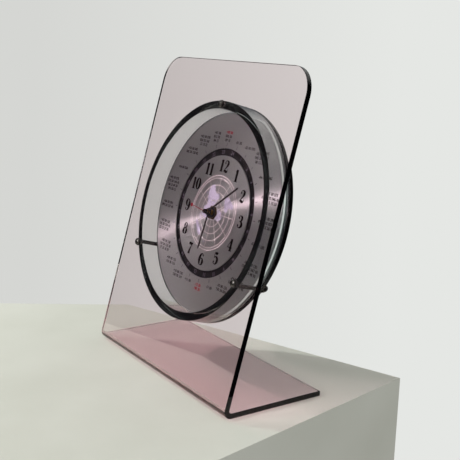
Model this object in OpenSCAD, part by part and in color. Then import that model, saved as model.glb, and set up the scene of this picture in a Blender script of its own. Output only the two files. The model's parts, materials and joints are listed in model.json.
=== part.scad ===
// World clock: a clear drum with the dial inside, clamped behind a leaning sheet stand

/* [Stand] */
// Width of the bent sheet
stand_w = 190; // [176:1:240]
// Thickness of the sheet
sheet_t = 4; // [3:0.5:6]
// Height of the panel, measured along its front face from the sharp corner
panel_h = 245.5; // [235:0.5:300]
// Depth of the foot from the sharp corner to its rear edge
foot_d = 85.3; // [84:0.1:120]
// How far the panel leans back from the vertical, in degrees
lean = 15.3; // [10:0.1:17]
// Inside radius of the bend
bend_r = 2; // [1:0.5:6]
// Radius of the two top corners of the panel
corner_r = 20; // [6:1:40]
// Height of the dial's centre, measured along the front face
centre_h = 131; // [100:1:145]

/* [Drum] */
// Outer radius of the clear drum
drum_r = 84; // [78:0.5:87]
// Thickness of the drum's wall
drum_wall = 6; // [5.5:0.5:8]
// Length of the drum between the panel and the back disc
drum_len = 17; // [14:0.5:26]
// Thickness of the clear back disc
back_t = 3; // [2:0.5:5]
// Thickness of the rubber seal between the drum and the back disc
seal_t = 0.5; // [0.3:0.1:1]

/* [Clamp screws] */
// How many long screws clamp the drum
screw_count = 3; // [3:1:6]
// Diameter of the screws
screw_d = 3; // [2:0.5:3.5]
// Radial clearance of the screws in their holes
screw_fit = 0.2; // [0.1:0.05:0.5]
// Diameter of the domed head
head_d = 5.6; // [4.5:0.1:7]
// Height of the domed head
head_h = 2.2; // [1.6:0.1:3]
// Width of the screwdriver slot
slot_w = 0.8; // [0.5:0.1:1.2]
// Depth of the screwdriver slot
slot_depth = 1; // [0.5:0.1:1.2]
// Diameter of the washers
washer_d = 7; // [6:0.5:10]
// Thickness of the washers
washer_t = 0.5; // [0.3:0.1:1]
// Width of the cap nuts across their flats
nut_flats = 5.5; // [5:0.1:8]
// Height of the six-sided part of a cap nut
nut_h = 2.6; // [2:0.1:4]
// Height of the dome on a cap nut
nut_dome = 2.4; // [1.5:0.1:2.6]
// Gap between the thread and the nut's bore
thread_fit = 0.02; // [0.01:0.01:0.05]

/* [Dial] */
// Thickness of the two dial plates
dial_t = 0.8; // [0.5:0.1:1.2]
// Gap between the outer dial plate and the drum's wall
dial_fit = 0.6; // [0.3:0.1:2]
// Gap between the dial plates and the back disc
dial_lift = 1.8; // [1.8:0.1:4]
// Radius of the opening in the outer dial plate
opening_r = 50.4; // [47:0.1:56]
// Radius of the centre dial plate
centre_dial_r = 44.8; // [38:0.1:46]
// Thickness of the turning day ring
ring_t = 0.5; // [0.3:0.1:0.6]
// Gap between the day ring and the dial plates
ring_gap = 0.2; // [0.15:0.05:0.3]
// How far the day ring reaches under the outer dial plate
ring_lap = 1.4; // [0.5:0.1:3]
// Number of round windows that lighten the day ring
ring_windows = 6; // [4:1:8]
// Radius of those windows
window_r = 9; // [4:0.5:10]
// Radius of the circle that the windows lie on
window_place_r = 29; // [27:0.5:31]
// Number of feet behind the outer dial plate
foot_count = 3; // [3:1:6]
// Radius of a dial foot
dial_foot_r = 2.5; // [1.8:0.1:4]
// Radius of the pin on a dial foot
foot_pin_r = 1; // [0.6:0.1:1.5]
// Gap between a foot's pin and its hole
foot_fit = 0.1; // [0.05:0.05:0.3]
// Length of the pin that shows behind the back disc
foot_tail = 0.6; // [0.2:0.1:2]
// Radius of the circle that the dial feet lie on
foot_place_r = 64; // [60:0.5:68]

/* [Hands] */
// Length of the hour hand from its axis
hour_len = 30; // [20:0.5:36]
// Length of the minute hand from its axis
minute_len = 39.5; // [28:0.5:43]
// Length of the second hand from its axis
second_len = 20; // [15:0.5:43]
// Radius of the disc at the tip of the second hand
second_dot_r = 1.5; // [1:0.1:3]
// Width of the hour hand at its hub end
hour_w = 1.7; // [1:0.1:3]
// Width of the minute hand at its hub end
minute_w = 1.4; // [0.8:0.1:2.5]
// Width of the second hand
second_w = 0.6; // [0.4:0.1:1]
// Thickness of the hands
hand_t = 0.3; // [0.2:0.05:0.4]
// Length of the hour pipe that shows in front of the post
hour_pipe_out = 3; // [0.6:0.1:4]
// Step from the hour hand to the minute hand
hand_step = 1.2; // [0.6:0.05:1.6]
// Step from the minute hand to the second hand
second_step = 3; // [1.5:0.1:3.5]
// Time shown at rest, in hours
rest_hours = 6.147; // [0:0.001:12]
// Seconds shown at rest
rest_seconds = 45.9; // [0:0.1:60]

/* [Centre post] */
// Radius of the threaded post of the movement
post_r = 4; // [3.7:0.1:4.4]
// Gap between the post and what it passes through
post_fit = 0.1; // [0.05:0.05:0.3]
// Width of the dial nut across its flats
dial_nut_flats = 10; // [9.5:0.5:13]
// Height of the dial nut
dial_nut_h = 1.2; // [1:0.1:1.8]
// Outer radius of the sleeve that carries the day ring
sleeve_r = 6; // [5.6:0.1:6.5]
// Radius of the rubber washer
rubber_r = 9; // [7:0.5:11]
// Thickness of the rubber washer
rubber_t = 0.6; // [0.4:0.1:1.2]

/* [Gear train] */
// Running clearance of pipes, arbors and pivots in their bores
run_fit = 0.05; // [0.03:0.01:0.06]
// Radius of the seconds arbor
arbor_r = 0.5; // [0.4:0.05:0.5]
// Radius of the pivots of the other arbors
pivot_r = 0.4; // [0.3:0.05:0.5]
// Outer radius of the minute pipe
minute_pipe_r = 1.5; // [1.3:0.05:1.5]
// Outer radius of the hour pipe
hour_pipe_r = 2.1; // [2:0.05:2.3]
// Radius of the setting arbor
setting_r = 0.75; // [0.7:0.05:0.85]
// Radius of the front end of the setting arbor, which holds the day pinion
setting_tip_r = 0.6; // [0.5:0.05:0.65]
// Distance from the centre to the setting arbor
setting_place = 13; // [13:0.1:14]
// Distance from the centre to the third arbor and to the step arbor
third_place = 12; // [12:0.1:12.5]
// Direction of the third arbor from the centre, in degrees above the left side
third_rise = 20; // [14:1:24]
// Distance from the step arbor to the rotor
rotor_place = 9.8; // [9.5:0.1:10]
// Thickness of the wheels
wheel_t = 0.8; // [0.6:0.1:0.9]
// Step from one layer of wheels to the next
layer_step = 1.5; // [1.4:0.05:1.55]
// How far a pinion stands out past its wheel on each side
pinion_over = 0.2; // [0.1:0.05:0.25]
// Teeth of the pinion on the minute pipe
minute_pinion_teeth = 10; // [9:1:12]
// Teeth of the wheel on the setting arbor
setting_wheel_teeth = 30; // [27:1:36]
// Teeth of the pinion on the setting arbor
setting_pinion_teeth = 10; // [9:1:12]
// Teeth of the hour wheel
hour_wheel_teeth = 40; // [36:1:48]
// Teeth of the day pinion
day_pinion_teeth = 8; // [8:1:10]
// Teeth of the day wheel
day_wheel_teeth = 64; // [60:1:72]
// Teeth of each small pinion in the going train
small_pinion_teeth = 8; // [8:1:10]
// Teeth of the centre wheel
centre_wheel_teeth = 64; // [60:1:66]
// Teeth of the third wheel
third_wheel_teeth = 60; // [56:1:64]
// Teeth of the seconds wheel
seconds_wheel_teeth = 40; // [38:1:42]
// Teeth of the step wheel
step_wheel_teeth = 48; // [44:1:50]
// Radius of the rotor's magnet
magnet_r = 3; // [2.5:0.1:3.2]
// Gap between the magnet and the stator
magnet_gap = 0.5; // [0.3:0.05:0.6]

/* [Movement case] */
// Width of the movement case
case_w = 58; // [58:0.5:66]
// Height of the case above the centre
case_up = 27; // [27:0.5:32]
// Depth of the case and its cover together
case_depth = 16; // [16:0.5:18]
// Wall thickness of the case
case_wall = 1.5; // [1.2:0.1:1.5]
// Corner radius of the case
case_corner = 3; // [2:0.5:5]
// How far below the centre the battery bay starts
bay_top = 12; // [12:0.5:14]
// Diameter of the battery
battery_d = 14.2; // [13.5:0.1:14.2]
// Length of the battery without its button
battery_len = 49.5; // [44:0.5:49.5]
// Radius of the battery's button
button_r = 2.7; // [2:0.1:3]
// Length of the battery's button
button_len = 1; // [0.8:0.1:1.2]
// Gap around the battery in its bay
bay_fit = 0.65; // [0.4:0.05:0.8]
// Radius of the setting knob
knob_r = 7; // [5:0.5:8]
// Thickness of the setting knob
knob_t = 3.5; // [2.5:0.5:4]
// Number of grip flutes round the knob
knob_flutes = 24; // [16:1:30]

/* [Hidden] */
$fn = 96;
cut = 0.5;
bend_steps = 12;

bend_outer = bend_r + sheet_t;
bend_run = bend_outer / tan((90 - lean) / 2);
nose = bend_run - bend_outer;
corner_y = -(foot_d + nose) / 2;

drum_in = drum_r - drum_wall;
screw_place_r = drum_r - drum_wall / 2;
screw_hole_r = screw_d / 2 + screw_fit;
back_d = sheet_t + drum_len;
rear_d = back_d + back_t;
nut_bore = nut_h + nut_dome * 0.4;
screw_spare = 0.3;
screw_len = rear_d + washer_t + nut_bore - screw_spare;
washer_lip = 0.4;
crown_share = 0.55;
clear_fit = 0.2;

outer_dial_r = drum_in - dial_fit;
dial_d = back_d - dial_lift - dial_t;
ring_d = dial_d + dial_t + ring_gap;
ring_r = opening_r + ring_lap;
day_wheel_d = ring_d + ring_t;
pinion_clear = 0.1;

post_hole_r = post_r + post_fit;
post_d = dial_d - dial_nut_h;
hour_hand_d = post_d - hour_pipe_out;
minute_hand_d = hour_hand_d - hand_step;
second_hand_d = minute_hand_d - second_step;

case_d = rear_d + rubber_t;
case_in_d = case_d + case_wall;
cover_d = case_d + case_depth - case_wall;
case_end_d = case_d + case_depth;
first_gap = 0.4;
pivot_bore = case_wall - 0.5;
function layer(k) = case_in_d + first_gap + k * layer_step;

third_xy = third_place * [-cos(third_rise), sin(third_rise)];
step_xy = third_place * [cos(third_rise), sin(third_rise)];
rotor_xy = step_xy + [0, rotor_place];
setting_xy = [0, setting_place];

bridge_t = 1;
bridge_back_gap = 0.7;
bridge_d = cover_d - bridge_back_gap - bridge_t;
bridge_edge = 2.2;
bridge_gap = 0.4;
bridge_top = rotor_xy[1] + 3.7;
pillar_r = 1.8;
pillars = [[-13, -10], [13, -10], [-13, 18.5]];
pilot_r = 0.7;
pilot_len = 3;
bridge_head_r = 1.3;
bridge_head_h = 0.6;
pivot_end_d = bridge_d + bridge_t - 0.1;
magnet_d = layer(5) + wheel_t + pinion_over + clear_fit;
magnet_t = 1.6;
stator_t = 0.8;
stator_d = magnet_d + (magnet_t - stator_t) / 2;
stator_x = [2, 25];
stator_rim = 4.4;
slit_w = 0.3;
slit_end = 0.3;
coil_y = 21.5;
core_w = 2.4;
ear_w = 3;
winding_r = 2.6;
board_t = 0.8;
board_d = stator_d;
board_x = [-26.5, -16.5];
board_y = [-7, 24];
board_pillars = [[-23.5, -4.5], [-23.5, 20]];
board_pillar_r = 1.4;
board_pin_r = 0.55;
chip_low = [-22.5, 5];
chip_size = [4.5, 5];
chip_t = 1;
crystal_low = [-24.8, 3];
crystal_r = 1;
crystal_len = 6;
winding_gap = 1;

case_in_x = case_w / 2 - case_wall;
bay_floor = bay_top + case_wall + battery_d + 2 * bay_fit;
case_down = bay_floor + case_wall;
battery_y = -(bay_top + case_wall + bay_fit + battery_d / 2);
battery_depth = case_end_d - battery_d / 2;
contact_t = 0.4;
contact_w = 8;
contact_half = 2;
contact_rise = 4.5;
contact_fit = 0.3;
knob_gap = 0.3;
knob_end = 0.7;
flute_r = 0.6;
flute_out = 0.25;

clear_tint = [0.85, 0.88, 0.88, 0.35];
rose_tint = [0.62, 0.42, 0.46, 0.5];

// Places its children in the plane of the panel's front face, with z towards the viewer
module on_panel() translate([0, corner_y, 0]) rotate([90 - lean, 0, 0]) children();

// The same plane, with its origin at the dial's centre
module on_centre() on_panel() translate([0, centre_h, 0]) children();

// A disc between two depths behind the front face
module disc(r, from, to) translate([0, 0, -to]) cylinder(r = r, h = to - from);

// A ring between two depths
module ring(r, bore, from, to) difference() {
    disc(r, from, to);
    disc(bore, from - cut, to + cut);
}

// Copies of its children on a circle round the dial's centre
module around(count, r, first = 90) for (k = [0 : count - 1])
    rotate([0, 0, first + k * 360 / count]) translate([r, 0, 0]) children();

// A flat plate between two corners and two depths
module plate(low, high, from, to) translate([low[0], low[1], -to])
    cube([high[0] - low[0], high[1] - low[1], to - from]);

function polar(r, a) = [r * cos(a), r * sin(a)];

// Points on one side of the bend, from one direction to another
function arc(centre, r, from, to) =
    [for (k = [0 : bend_steps]) centre + polar(r, from + (to - from) * k / bend_steps)];

// Half the width of a tooth, as an angle, at a height above the pitch circle
function tooth_angle(half, r) = half / r * 180 / PI;

// One gear outline: wheels have tall pointed teeth, pinions have narrow leaves
function gear_points(teeth, size, is_pinion) =
    let (pitch = teeth * size / 2,
         root = pitch - (is_pinion ? 1.3 : 1) * size,
         shoulder = pitch + (is_pinion ? 0.2 : 0.15) * size,
         tip = pitch + (is_pinion ? 0.65 : 0.95) * size,
         half = (is_pinion ? 0.5 : 0.69) * size,
         flank = tooth_angle(half, pitch),
         top = tooth_angle((is_pinion ? 0.22 : 0.34) * size, tip))
    [for (k = [0 : teeth - 1]) let (a = k * 360 / teeth) each [
        polar(root, a - flank), polar(shoulder, a - flank * 0.95), polar(tip, a - top),
        polar(tip, a + top), polar(shoulder, a + flank * 0.95), polar(root, a + flank)]];

// The size that makes two gears meet at a given distance
function gear_size(distance, teeth_a, teeth_b) = 2 * distance / (teeth_a + teeth_b);

// The turn of gear b that puts its gap on gear a's tooth, with b in direction dir from a
function mesh_turn(teeth_a, turn_a, teeth_b, dir) =
    let (part = (dir - turn_a) * teeth_a / 360) dir + 180 - (0.5 - part) * 360 / teeth_b;

module gear(teeth, size, from, to, turn = 0, is_pinion = false)
    translate([0, 0, -to]) rotate([0, 0, turn]) linear_extrude(to - from)
        polygon(gear_points(teeth, size, is_pinion));

module wheel_in(k, teeth, size, turn = 0) gear(teeth, size, layer(k), layer(k) + wheel_t, turn);

module pinion_in(k, teeth, size, turn = 0)
    gear(teeth, size, layer(k) - pinion_over, layer(k) + wheel_t + pinion_over, turn, true);

minute_size = gear_size(setting_place, minute_pinion_teeth, setting_wheel_teeth);
hour_size = gear_size(setting_place, setting_pinion_teeth, hour_wheel_teeth);
day_size = gear_size(setting_place, day_pinion_teeth, day_wheel_teeth);
centre_size = gear_size(third_place, small_pinion_teeth, centre_wheel_teeth);
third_size = gear_size(third_place, small_pinion_teeth, third_wheel_teeth);
seconds_size = gear_size(third_place, small_pinion_teeth, seconds_wheel_teeth);
step_size = gear_size(rotor_place, small_pinion_teeth, step_wheel_teeth);

// Side view of the bent sheet: depth across, height up
module sheet_profile() {
    up = 90 - lean;
    bend_centre = [corner_y + bend_run, bend_outer];
    panel_top = [corner_y, 0] + panel_h * polar(1, up);
    polygon(concat(
        [[corner_y + foot_d, sheet_t], [corner_y + foot_d, 0]],
        arc(bend_centre, bend_outer, 270, 90 + up),
        [panel_top, panel_top + polar(sheet_t, up - 90)],
        arc(bend_centre, bend_r, 90 + up, 270)));
}

// What is cut away outside a rounded top corner of the panel
module corner_waste(side) difference() {
    translate([side * (stand_w / 2 - corner_r / 2 + cut), panel_h - corner_r / 2 + cut])
        square(corner_r + 2 * cut, center = true);
    translate([side * (stand_w / 2 - corner_r), panel_h - corner_r]) circle(r = corner_r);
}

// The bent sheet: foot, bend and panel, with the holes for the clamp screws
module stand() color(rose_tint) difference() {
    rotate([90, 0, 90]) translate([0, 0, -stand_w / 2]) linear_extrude(stand_w) sheet_profile();
    for (side = [-1, 1]) on_panel() translate([0, 0, -sheet_t - cut])
        linear_extrude(sheet_t + 2 * cut) corner_waste(side);
    on_centre() around(screw_count, screw_place_r) disc(screw_hole_r, -cut, sheet_t + cut);
}

// A ring as wide as the drum's wall, drilled for the clamp screws
module drum_slice(from, to) difference() {
    ring(drum_r, drum_in, from, to);
    around(screw_count, screw_place_r) disc(screw_hole_r, from - cut, to + cut);
}

module drum_ring() color(clear_tint) on_centre() drum_slice(sheet_t, back_d - seal_t);

module drum_seal() color([0.06, 0.06, 0.06]) on_centre() drum_slice(back_d - seal_t, back_d);

module back_disc() color(clear_tint) on_centre() difference() {
    disc(drum_r, back_d, rear_d);
    around(screw_count, screw_place_r) disc(screw_hole_r, back_d - cut, rear_d + cut);
    around(foot_count, foot_place_r, 30) disc(foot_pin_r + foot_fit, back_d - cut, rear_d + cut);
    disc(post_hole_r, back_d - cut, rear_d + cut);
    translate(setting_xy) disc(setting_r + clear_fit, back_d - cut, rear_d + cut);
}

// One long screw with a domed, slotted head in front of the panel
module clamp_screw() {
    crown = head_h * crown_share;
    dome_r = (pow(head_d / 2, 2) + pow(crown, 2)) / (2 * crown);
    difference() {
        intersection() {
            translate([0, 0, washer_t]) cylinder(r = head_d / 2, h = head_h);
            translate([0, 0, washer_t + head_h - dome_r]) sphere(r = dome_r);
        }
        translate([-head_d, -slot_w / 2, washer_t + head_h - slot_depth])
            cube([2 * head_d, slot_w, head_h]);
    }
    disc(screw_d / 2, -washer_t, screw_len);
}

module clamp_screws() color("silver") on_centre()
    around(screw_count, screw_place_r) clamp_screw();

module front_washers() color("gainsboro") on_centre()
    around(screw_count, screw_place_r) ring(head_d / 2 + washer_lip, screw_hole_r, -washer_t, 0);

module rear_washers() color("silver") on_centre()
    around(screw_count, screw_place_r) ring(washer_d / 2, screw_hole_r, rear_d, rear_d + washer_t);

module cap_nut() {
    seat = rear_d + washer_t;
    difference() {
        union() {
            translate([0, 0, -seat - nut_h])
                cylinder(r = nut_flats / 2 / cos(30), h = nut_h, $fn = 6);
            translate([0, 0, -seat - nut_h]) sphere(r = nut_dome);
        }
        disc(screw_d / 2 + thread_fit, seat - cut, seat + nut_bore);
        disc(2 * nut_flats, seat - nut_flats, seat);
    }
}

module cap_nuts() color("silver") on_centre() around(screw_count, screw_place_r) cap_nut();

// The two fixed dial plates and what carries them
module outer_dial() color([0.5, 0.5, 0.5]) on_centre()
    ring(outer_dial_r, opening_r, dial_d, dial_d + dial_t);

module dial_feet() color("silver") on_centre() around(foot_count, foot_place_r, 30) {
    disc(dial_foot_r, dial_d + dial_t, back_d);
    disc(foot_pin_r, dial_d + dial_t, rear_d + foot_tail);
}

module centre_dial() color([0.48, 0.47, 0.48]) on_centre()
    ring(centre_dial_r, post_hole_r, dial_d, dial_d + dial_t);

module ring_sleeve() color("goldenrod") on_centre()
    ring(sleeve_r, post_hole_r, dial_d + dial_t, back_d);

module dial_nut() color("goldenrod") on_centre() difference() {
    translate([0, 0, -dial_d])
        cylinder(r = dial_nut_flats / 2 / cos(30), h = dial_nut_h, $fn = 6);
    disc(post_r + thread_fit, post_d - cut, dial_d + cut);
}

// The day ring and its wheel turn on the sleeve, driven by a pinion through the back disc
module day_ring() color([0.1, 0.1, 0.13]) on_centre() difference() {
    ring(ring_r, sleeve_r + run_fit, ring_d, ring_d + ring_t);
    around(ring_windows, window_place_r) disc(window_r, ring_d - cut, ring_d + ring_t + cut);
}

day_turn = mesh_turn(day_pinion_teeth, 0, day_wheel_teeth, -90);

module day_wheel() color("goldenrod") on_centre() difference() {
    gear(day_wheel_teeth, day_size, day_wheel_d, day_wheel_d + wheel_t, day_turn);
    disc(sleeve_r + run_fit, day_wheel_d - cut, day_wheel_d + wheel_t + cut);
}

module day_pinion() color("silver") on_centre() translate(setting_xy) difference() {
    gear(day_pinion_teeth, day_size, day_wheel_d + pinion_clear, back_d - pinion_clear, 0, true);
    disc(setting_tip_r, day_wheel_d - cut, back_d + cut);
}

// A flat hand: a hub, a blade that narrows towards its tip and a short tail
module hand(len, wide, tail, hub, bore, depth) translate([0, 0, -depth - hand_t]) difference() {
    linear_extrude(hand_t) union() {
        circle(r = hub);
        polygon([[-wide / 2, -tail], [wide / 2, -tail], [wide / 2, 0], [wide * neck, len - wide],
            [0, len], [-wide * neck, len - wide], [-wide / 2, 0]]);
    }
    translate([0, 0, -cut]) cylinder(r = bore, h = hand_t + 2 * cut);
}

second_tail = 6;
hub_lip = 1.1;
neck = 0.42;
boss_r = 1;
boss_gap = 0.5;
minute_angle = -(rest_hours - floor(rest_hours)) * 360;
hour_angle = -rest_hours * 30;
second_angle = -rest_seconds * 6;

module hour_hand() color("black") on_centre() rotate([0, 0, hour_angle])
    hand(hour_len, hour_w, hour_w / 2, hour_pipe_r + hub_lip, hour_pipe_r, hour_hand_d);

module minute_hand() color("black") on_centre() rotate([0, 0, minute_angle])
    hand(minute_len, minute_w, minute_w / 2, minute_pipe_r + hub_lip, minute_pipe_r, minute_hand_d);

// The second hand has a disc near its tip and a tube behind its hub
module second_hand() color("crimson") on_centre() rotate([0, 0, second_angle]) {
    hand(second_len, second_w, second_tail, arbor_r + hub_lip, arbor_r, second_hand_d);
    translate([0, second_len - second_dot_r, -second_hand_d - hand_t])
        cylinder(r = second_dot_r, h = hand_t);
    ring(boss_r, arbor_r, second_hand_d, minute_hand_d - boss_gap);
}

// Pipes, wheels and arbors of the movement
module hour_wheel() color("white") on_centre() difference() {
    union() {
        wheel_in(0, hour_wheel_teeth, hour_size,
            mesh_turn(setting_pinion_teeth, 0, hour_wheel_teeth, -90));
        disc(hour_pipe_r, hour_hand_d, layer(0) + wheel_t);
    }
    disc(minute_pipe_r + run_fit, hour_hand_d - cut, layer(0) + wheel_t + cut);
}

module minute_pipe() color("silver") on_centre() difference() {
    union() {
        pinion_in(1, minute_pinion_teeth, minute_size);
        disc(minute_pipe_r, minute_hand_d, layer(2) + wheel_t + pinion_over);
    }
    disc(arbor_r + run_fit, minute_hand_d - cut, layer(3));
}

module setting_wheel() color("white") on_centre() translate(setting_xy) {
    wheel_in(1, setting_wheel_teeth, minute_size,
        mesh_turn(minute_pinion_teeth, 0, setting_wheel_teeth, 90));
    pinion_in(0, setting_pinion_teeth, hour_size);
    disc(setting_tip_r, day_wheel_d + pinion_clear, case_in_d);
    disc(setting_r, case_in_d, case_end_d + knob_t - knob_end);
}

module centre_wheel() color("goldenrod") on_centre() difference() {
    wheel_in(2, centre_wheel_teeth, centre_size,
        mesh_turn(small_pinion_teeth, 0, centre_wheel_teeth, -third_rise));
    disc(minute_pipe_r + run_fit, layer(2) - cut, layer(2) + wheel_t + cut);
}

// An arbor between the case and the bridge
module pivot_arbor() disc(pivot_r, case_in_d - pivot_bore + clear_fit, pivot_end_d);

module third_wheel() color("white") on_centre() translate(third_xy) {
    pinion_in(2, small_pinion_teeth, centre_size);
    wheel_in(3, third_wheel_teeth, third_size,
        mesh_turn(small_pinion_teeth, 0, third_wheel_teeth, 180 - third_rise));
    pivot_arbor();
}

module seconds_wheel() color("white") on_centre() {
    pinion_in(3, small_pinion_teeth, third_size);
    wheel_in(4, seconds_wheel_teeth, seconds_size,
        mesh_turn(small_pinion_teeth, 0, seconds_wheel_teeth, 180 + third_rise));
    disc(arbor_r, second_hand_d, pivot_end_d);
}

module step_wheel() color("white") on_centre() translate(step_xy) {
    pinion_in(4, small_pinion_teeth, seconds_size);
    wheel_in(5, step_wheel_teeth, step_size,
        mesh_turn(small_pinion_teeth, 0, step_wheel_teeth, -90));
    pivot_arbor();
}

module rotor() color("slategray") on_centre() translate(rotor_xy) {
    pinion_in(5, small_pinion_teeth, step_size);
    disc(magnet_r, magnet_d, magnet_d + magnet_t);
    pivot_arbor();
}

// The stepping motor's fixed parts
module stator() color("gray") on_centre() difference() {
    union() {
        plate([stator_x[0], rotor_xy[1] - stator_rim], [stator_x[1], rotor_xy[1] + stator_rim],
            stator_d, stator_d + stator_t);
        for (x = [stator_x[0], stator_x[1] - ear_w])
            plate([x, rotor_xy[1]], [x + ear_w, coil_y - core_w / 2],
                stator_d, stator_d + stator_t);
    }
    translate(rotor_xy) disc(magnet_r + magnet_gap, stator_d - cut, stator_d + stator_t + cut);
    for (s = [-1, 1]) translate(rotor_xy) rotate([0, 0, s * 90])
        plate([magnet_r, -slit_w / 2], [stator_rim - slit_end, slit_w / 2],
            stator_d - cut, stator_d + stator_t + cut);
}

module coil_core() color("gray") on_centre()
    plate([stator_x[0], coil_y - core_w / 2], [stator_x[1], coil_y + core_w / 2],
        stator_d, stator_d + stator_t);

winding_x = [stator_x[0] + ear_w + winding_gap, stator_x[1] - ear_w - winding_gap];

module coil_winding() color("peru") on_centre() difference() {
    translate([winding_x[0], coil_y, -stator_d - stator_t / 2]) rotate([0, 90, 0])
        cylinder(r = winding_r, h = winding_x[1] - winding_x[0]);
    plate([winding_x[0] - cut, coil_y - core_w / 2], [winding_x[1] + cut, coil_y + core_w / 2],
        stator_d, stator_d + stator_t);
}

// The bridge that holds the rear pivots, on three pillars of the case
module train_bridge() color("gainsboro") on_centre() difference() {
    union() {
        plate([pillars[0][0] - bridge_edge, -bay_top + bridge_gap],
            [pillars[1][0] + bridge_edge, bridge_top], bridge_d, bridge_d + bridge_t);
        plate([pillars[2][0] - bridge_edge, bridge_top - cut], pillars[2] + [bridge_edge, bridge_edge],
            bridge_d, bridge_d + bridge_t);
    }
    for (p = [third_xy, step_xy, rotor_xy]) translate(p)
        disc(pivot_r + run_fit, bridge_d - cut, bridge_d + bridge_t + cut);
    disc(arbor_r + run_fit, bridge_d - cut, bridge_d + bridge_t + cut);
    translate(setting_xy) disc(setting_r + run_fit, bridge_d - cut, bridge_d + bridge_t + cut);
    for (p = pillars) translate(p) disc(pilot_r + run_fit, bridge_d - cut, bridge_d + bridge_t + cut);
}

module bridge_screws() color("silver") on_centre() for (p = pillars) translate(p) {
    disc(bridge_head_r, bridge_d + bridge_t, bridge_d + bridge_t + bridge_head_h);
    disc(pilot_r, bridge_d - pilot_len, bridge_d + bridge_t);
}

module circuit_board() color("darkgreen") on_centre() difference() {
    plate([board_x[0], board_y[0]], [board_x[1], board_y[1]], board_d, board_d + board_t);
    for (p = board_pillars) translate(p)
        disc(board_pin_r + run_fit, board_d - cut, board_d + board_t + cut);
}

module chip() color("black") on_centre()
    plate(chip_low, chip_low + chip_size, board_d + board_t, board_d + board_t + chip_t);

module crystal() color("silver") on_centre()
    translate([crystal_low[0], crystal_low[1], -board_d - board_t - crystal_r])
        rotate([-90, 0, 0]) cylinder(r = crystal_r, h = crystal_len);

// The moulded case: gear room above, battery bay below, threaded post in front
module case_outline(low) {
    side = case_w / 2;
    translate([-side + case_corner, low]) square([case_w - 2 * case_corner, case_up - low]);
    translate([-side, low + case_corner])
        square([case_w, case_up - low - 2 * case_corner]);
    for (x = [-1, 1], y = [low + case_corner, case_up - case_corner])
        translate([x * (side - case_corner), y]) circle(r = case_corner);
}

module contact_slot(side) plate(
    [side * case_in_x - contact_t - contact_fit / 2, -bay_top - case_wall - cut],
    [side * case_in_x + contact_t + contact_fit / 2, -bay_top + cut],
    battery_depth - contact_half - contact_fit, battery_depth + contact_half + contact_fit);

module movement_case() color([0.12, 0.12, 0.13]) on_centre() difference() {
    union() {
        difference() {
            translate([0, 0, -cover_d]) linear_extrude(cover_d - case_d) case_outline(-case_down);
            plate([-case_in_x, -bay_top], [case_in_x, case_up - case_wall],
                case_in_d, cover_d + cut);
            plate([-case_in_x, -bay_floor], [case_in_x, -bay_top - case_wall],
                case_in_d, cover_d + cut);
        }
        disc(post_r, post_d, case_in_d);
        for (p = pillars) translate(p) disc(pillar_r, case_in_d, bridge_d);
        for (p = board_pillars) translate(p) {
            disc(board_pillar_r, case_in_d, board_d);
            disc(board_pin_r, board_d, board_d + board_t);
        }
    }
    disc(hour_pipe_r + run_fit, post_d - cut, case_in_d + cut);
    translate(setting_xy) disc(setting_tip_r + run_fit, case_d - cut, case_in_d + cut);
    for (p = [third_xy, step_xy, rotor_xy]) translate(p)
        disc(pivot_r + run_fit, case_in_d - pivot_bore, case_in_d + cut);
    for (p = pillars) translate(p) disc(pilot_r, bridge_d - pilot_len - clear_fit, bridge_d + cut);
    for (s = [-1, 1]) contact_slot(s);
}

module rubber_washer() color([0.08, 0.08, 0.08]) on_centre()
    ring(rubber_r, post_hole_r, rear_d, case_d);

module movement_cover() color([0.14, 0.14, 0.15]) on_centre() difference() {
    translate([0, 0, -case_end_d]) linear_extrude(case_wall) case_outline(-bay_top - case_wall);
    translate(setting_xy) disc(setting_r + 2 * run_fit, cover_d - cut, case_end_d + cut);
}

module battery() color([0.2, 0.2, 0.22]) on_centre()
    translate([-(battery_len + button_len) / 2, battery_y, -battery_depth]) rotate([0, 90, 0]) {
        cylinder(r = battery_d / 2, h = battery_len);
        cylinder(r = button_r, h = battery_len + button_len);
    }

// A contact: a strip on the wall of the bay, bowed against the battery's end
contact_bow = case_in_x - contact_t - (battery_len + button_len) / 2;

module contact(side) intersection() {
    plate([-case_in_x, battery_y - contact_w / 2], [case_in_x, -bay_top + contact_rise],
        battery_depth - contact_w / 2, battery_depth + contact_w / 2);
    union() {
        plate([min(side * case_in_x, side * (case_in_x - contact_t)), battery_y - contact_w / 2],
            [max(side * case_in_x, side * (case_in_x - contact_t)), -bay_top + contact_rise],
            battery_depth - contact_half, battery_depth + contact_half);
        translate([side * (case_in_x - contact_t), battery_y, -battery_depth + contact_half])
            rotate([180, 0, 0]) cylinder(r = contact_bow, h = 2 * contact_half);
    }
}

module positive_contact() color("silver") on_centre() contact(1);

module negative_contact() color("silver") on_centre() contact(-1);

// The knob that sets the hands, on the rear end of the setting arbor
module setting_knob() color([0.15, 0.15, 0.16]) on_centre() translate(setting_xy) difference() {
    disc(knob_r, case_end_d + knob_gap, case_end_d + knob_t);
    for (k = [0 : knob_flutes - 1]) rotate([0, 0, k * 360 / knob_flutes])
        translate([knob_r + flute_out, 0, 0])
            disc(flute_r, case_end_d, case_end_d + knob_t + cut);
    disc(setting_r, case_end_d, case_end_d + knob_t - knob_end);
}

stand();
drum_ring();
drum_seal();
back_disc();
clamp_screws();
front_washers();
rear_washers();
cap_nuts();
outer_dial();
dial_feet();
centre_dial();
ring_sleeve();
dial_nut();
day_ring();
day_wheel();
day_pinion();
hour_hand();
minute_hand();
second_hand();
hour_wheel();
minute_pipe();
setting_wheel();
centre_wheel();
third_wheel();
seconds_wheel();
step_wheel();
rotor();
stator();
coil_core();
coil_winding();
train_bridge();
bridge_screws();
circuit_board();
chip();
crystal();
movement_case();
rubber_washer();
movement_cover();
battery();
positive_contact();
negative_contact();
setting_knob();
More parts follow.
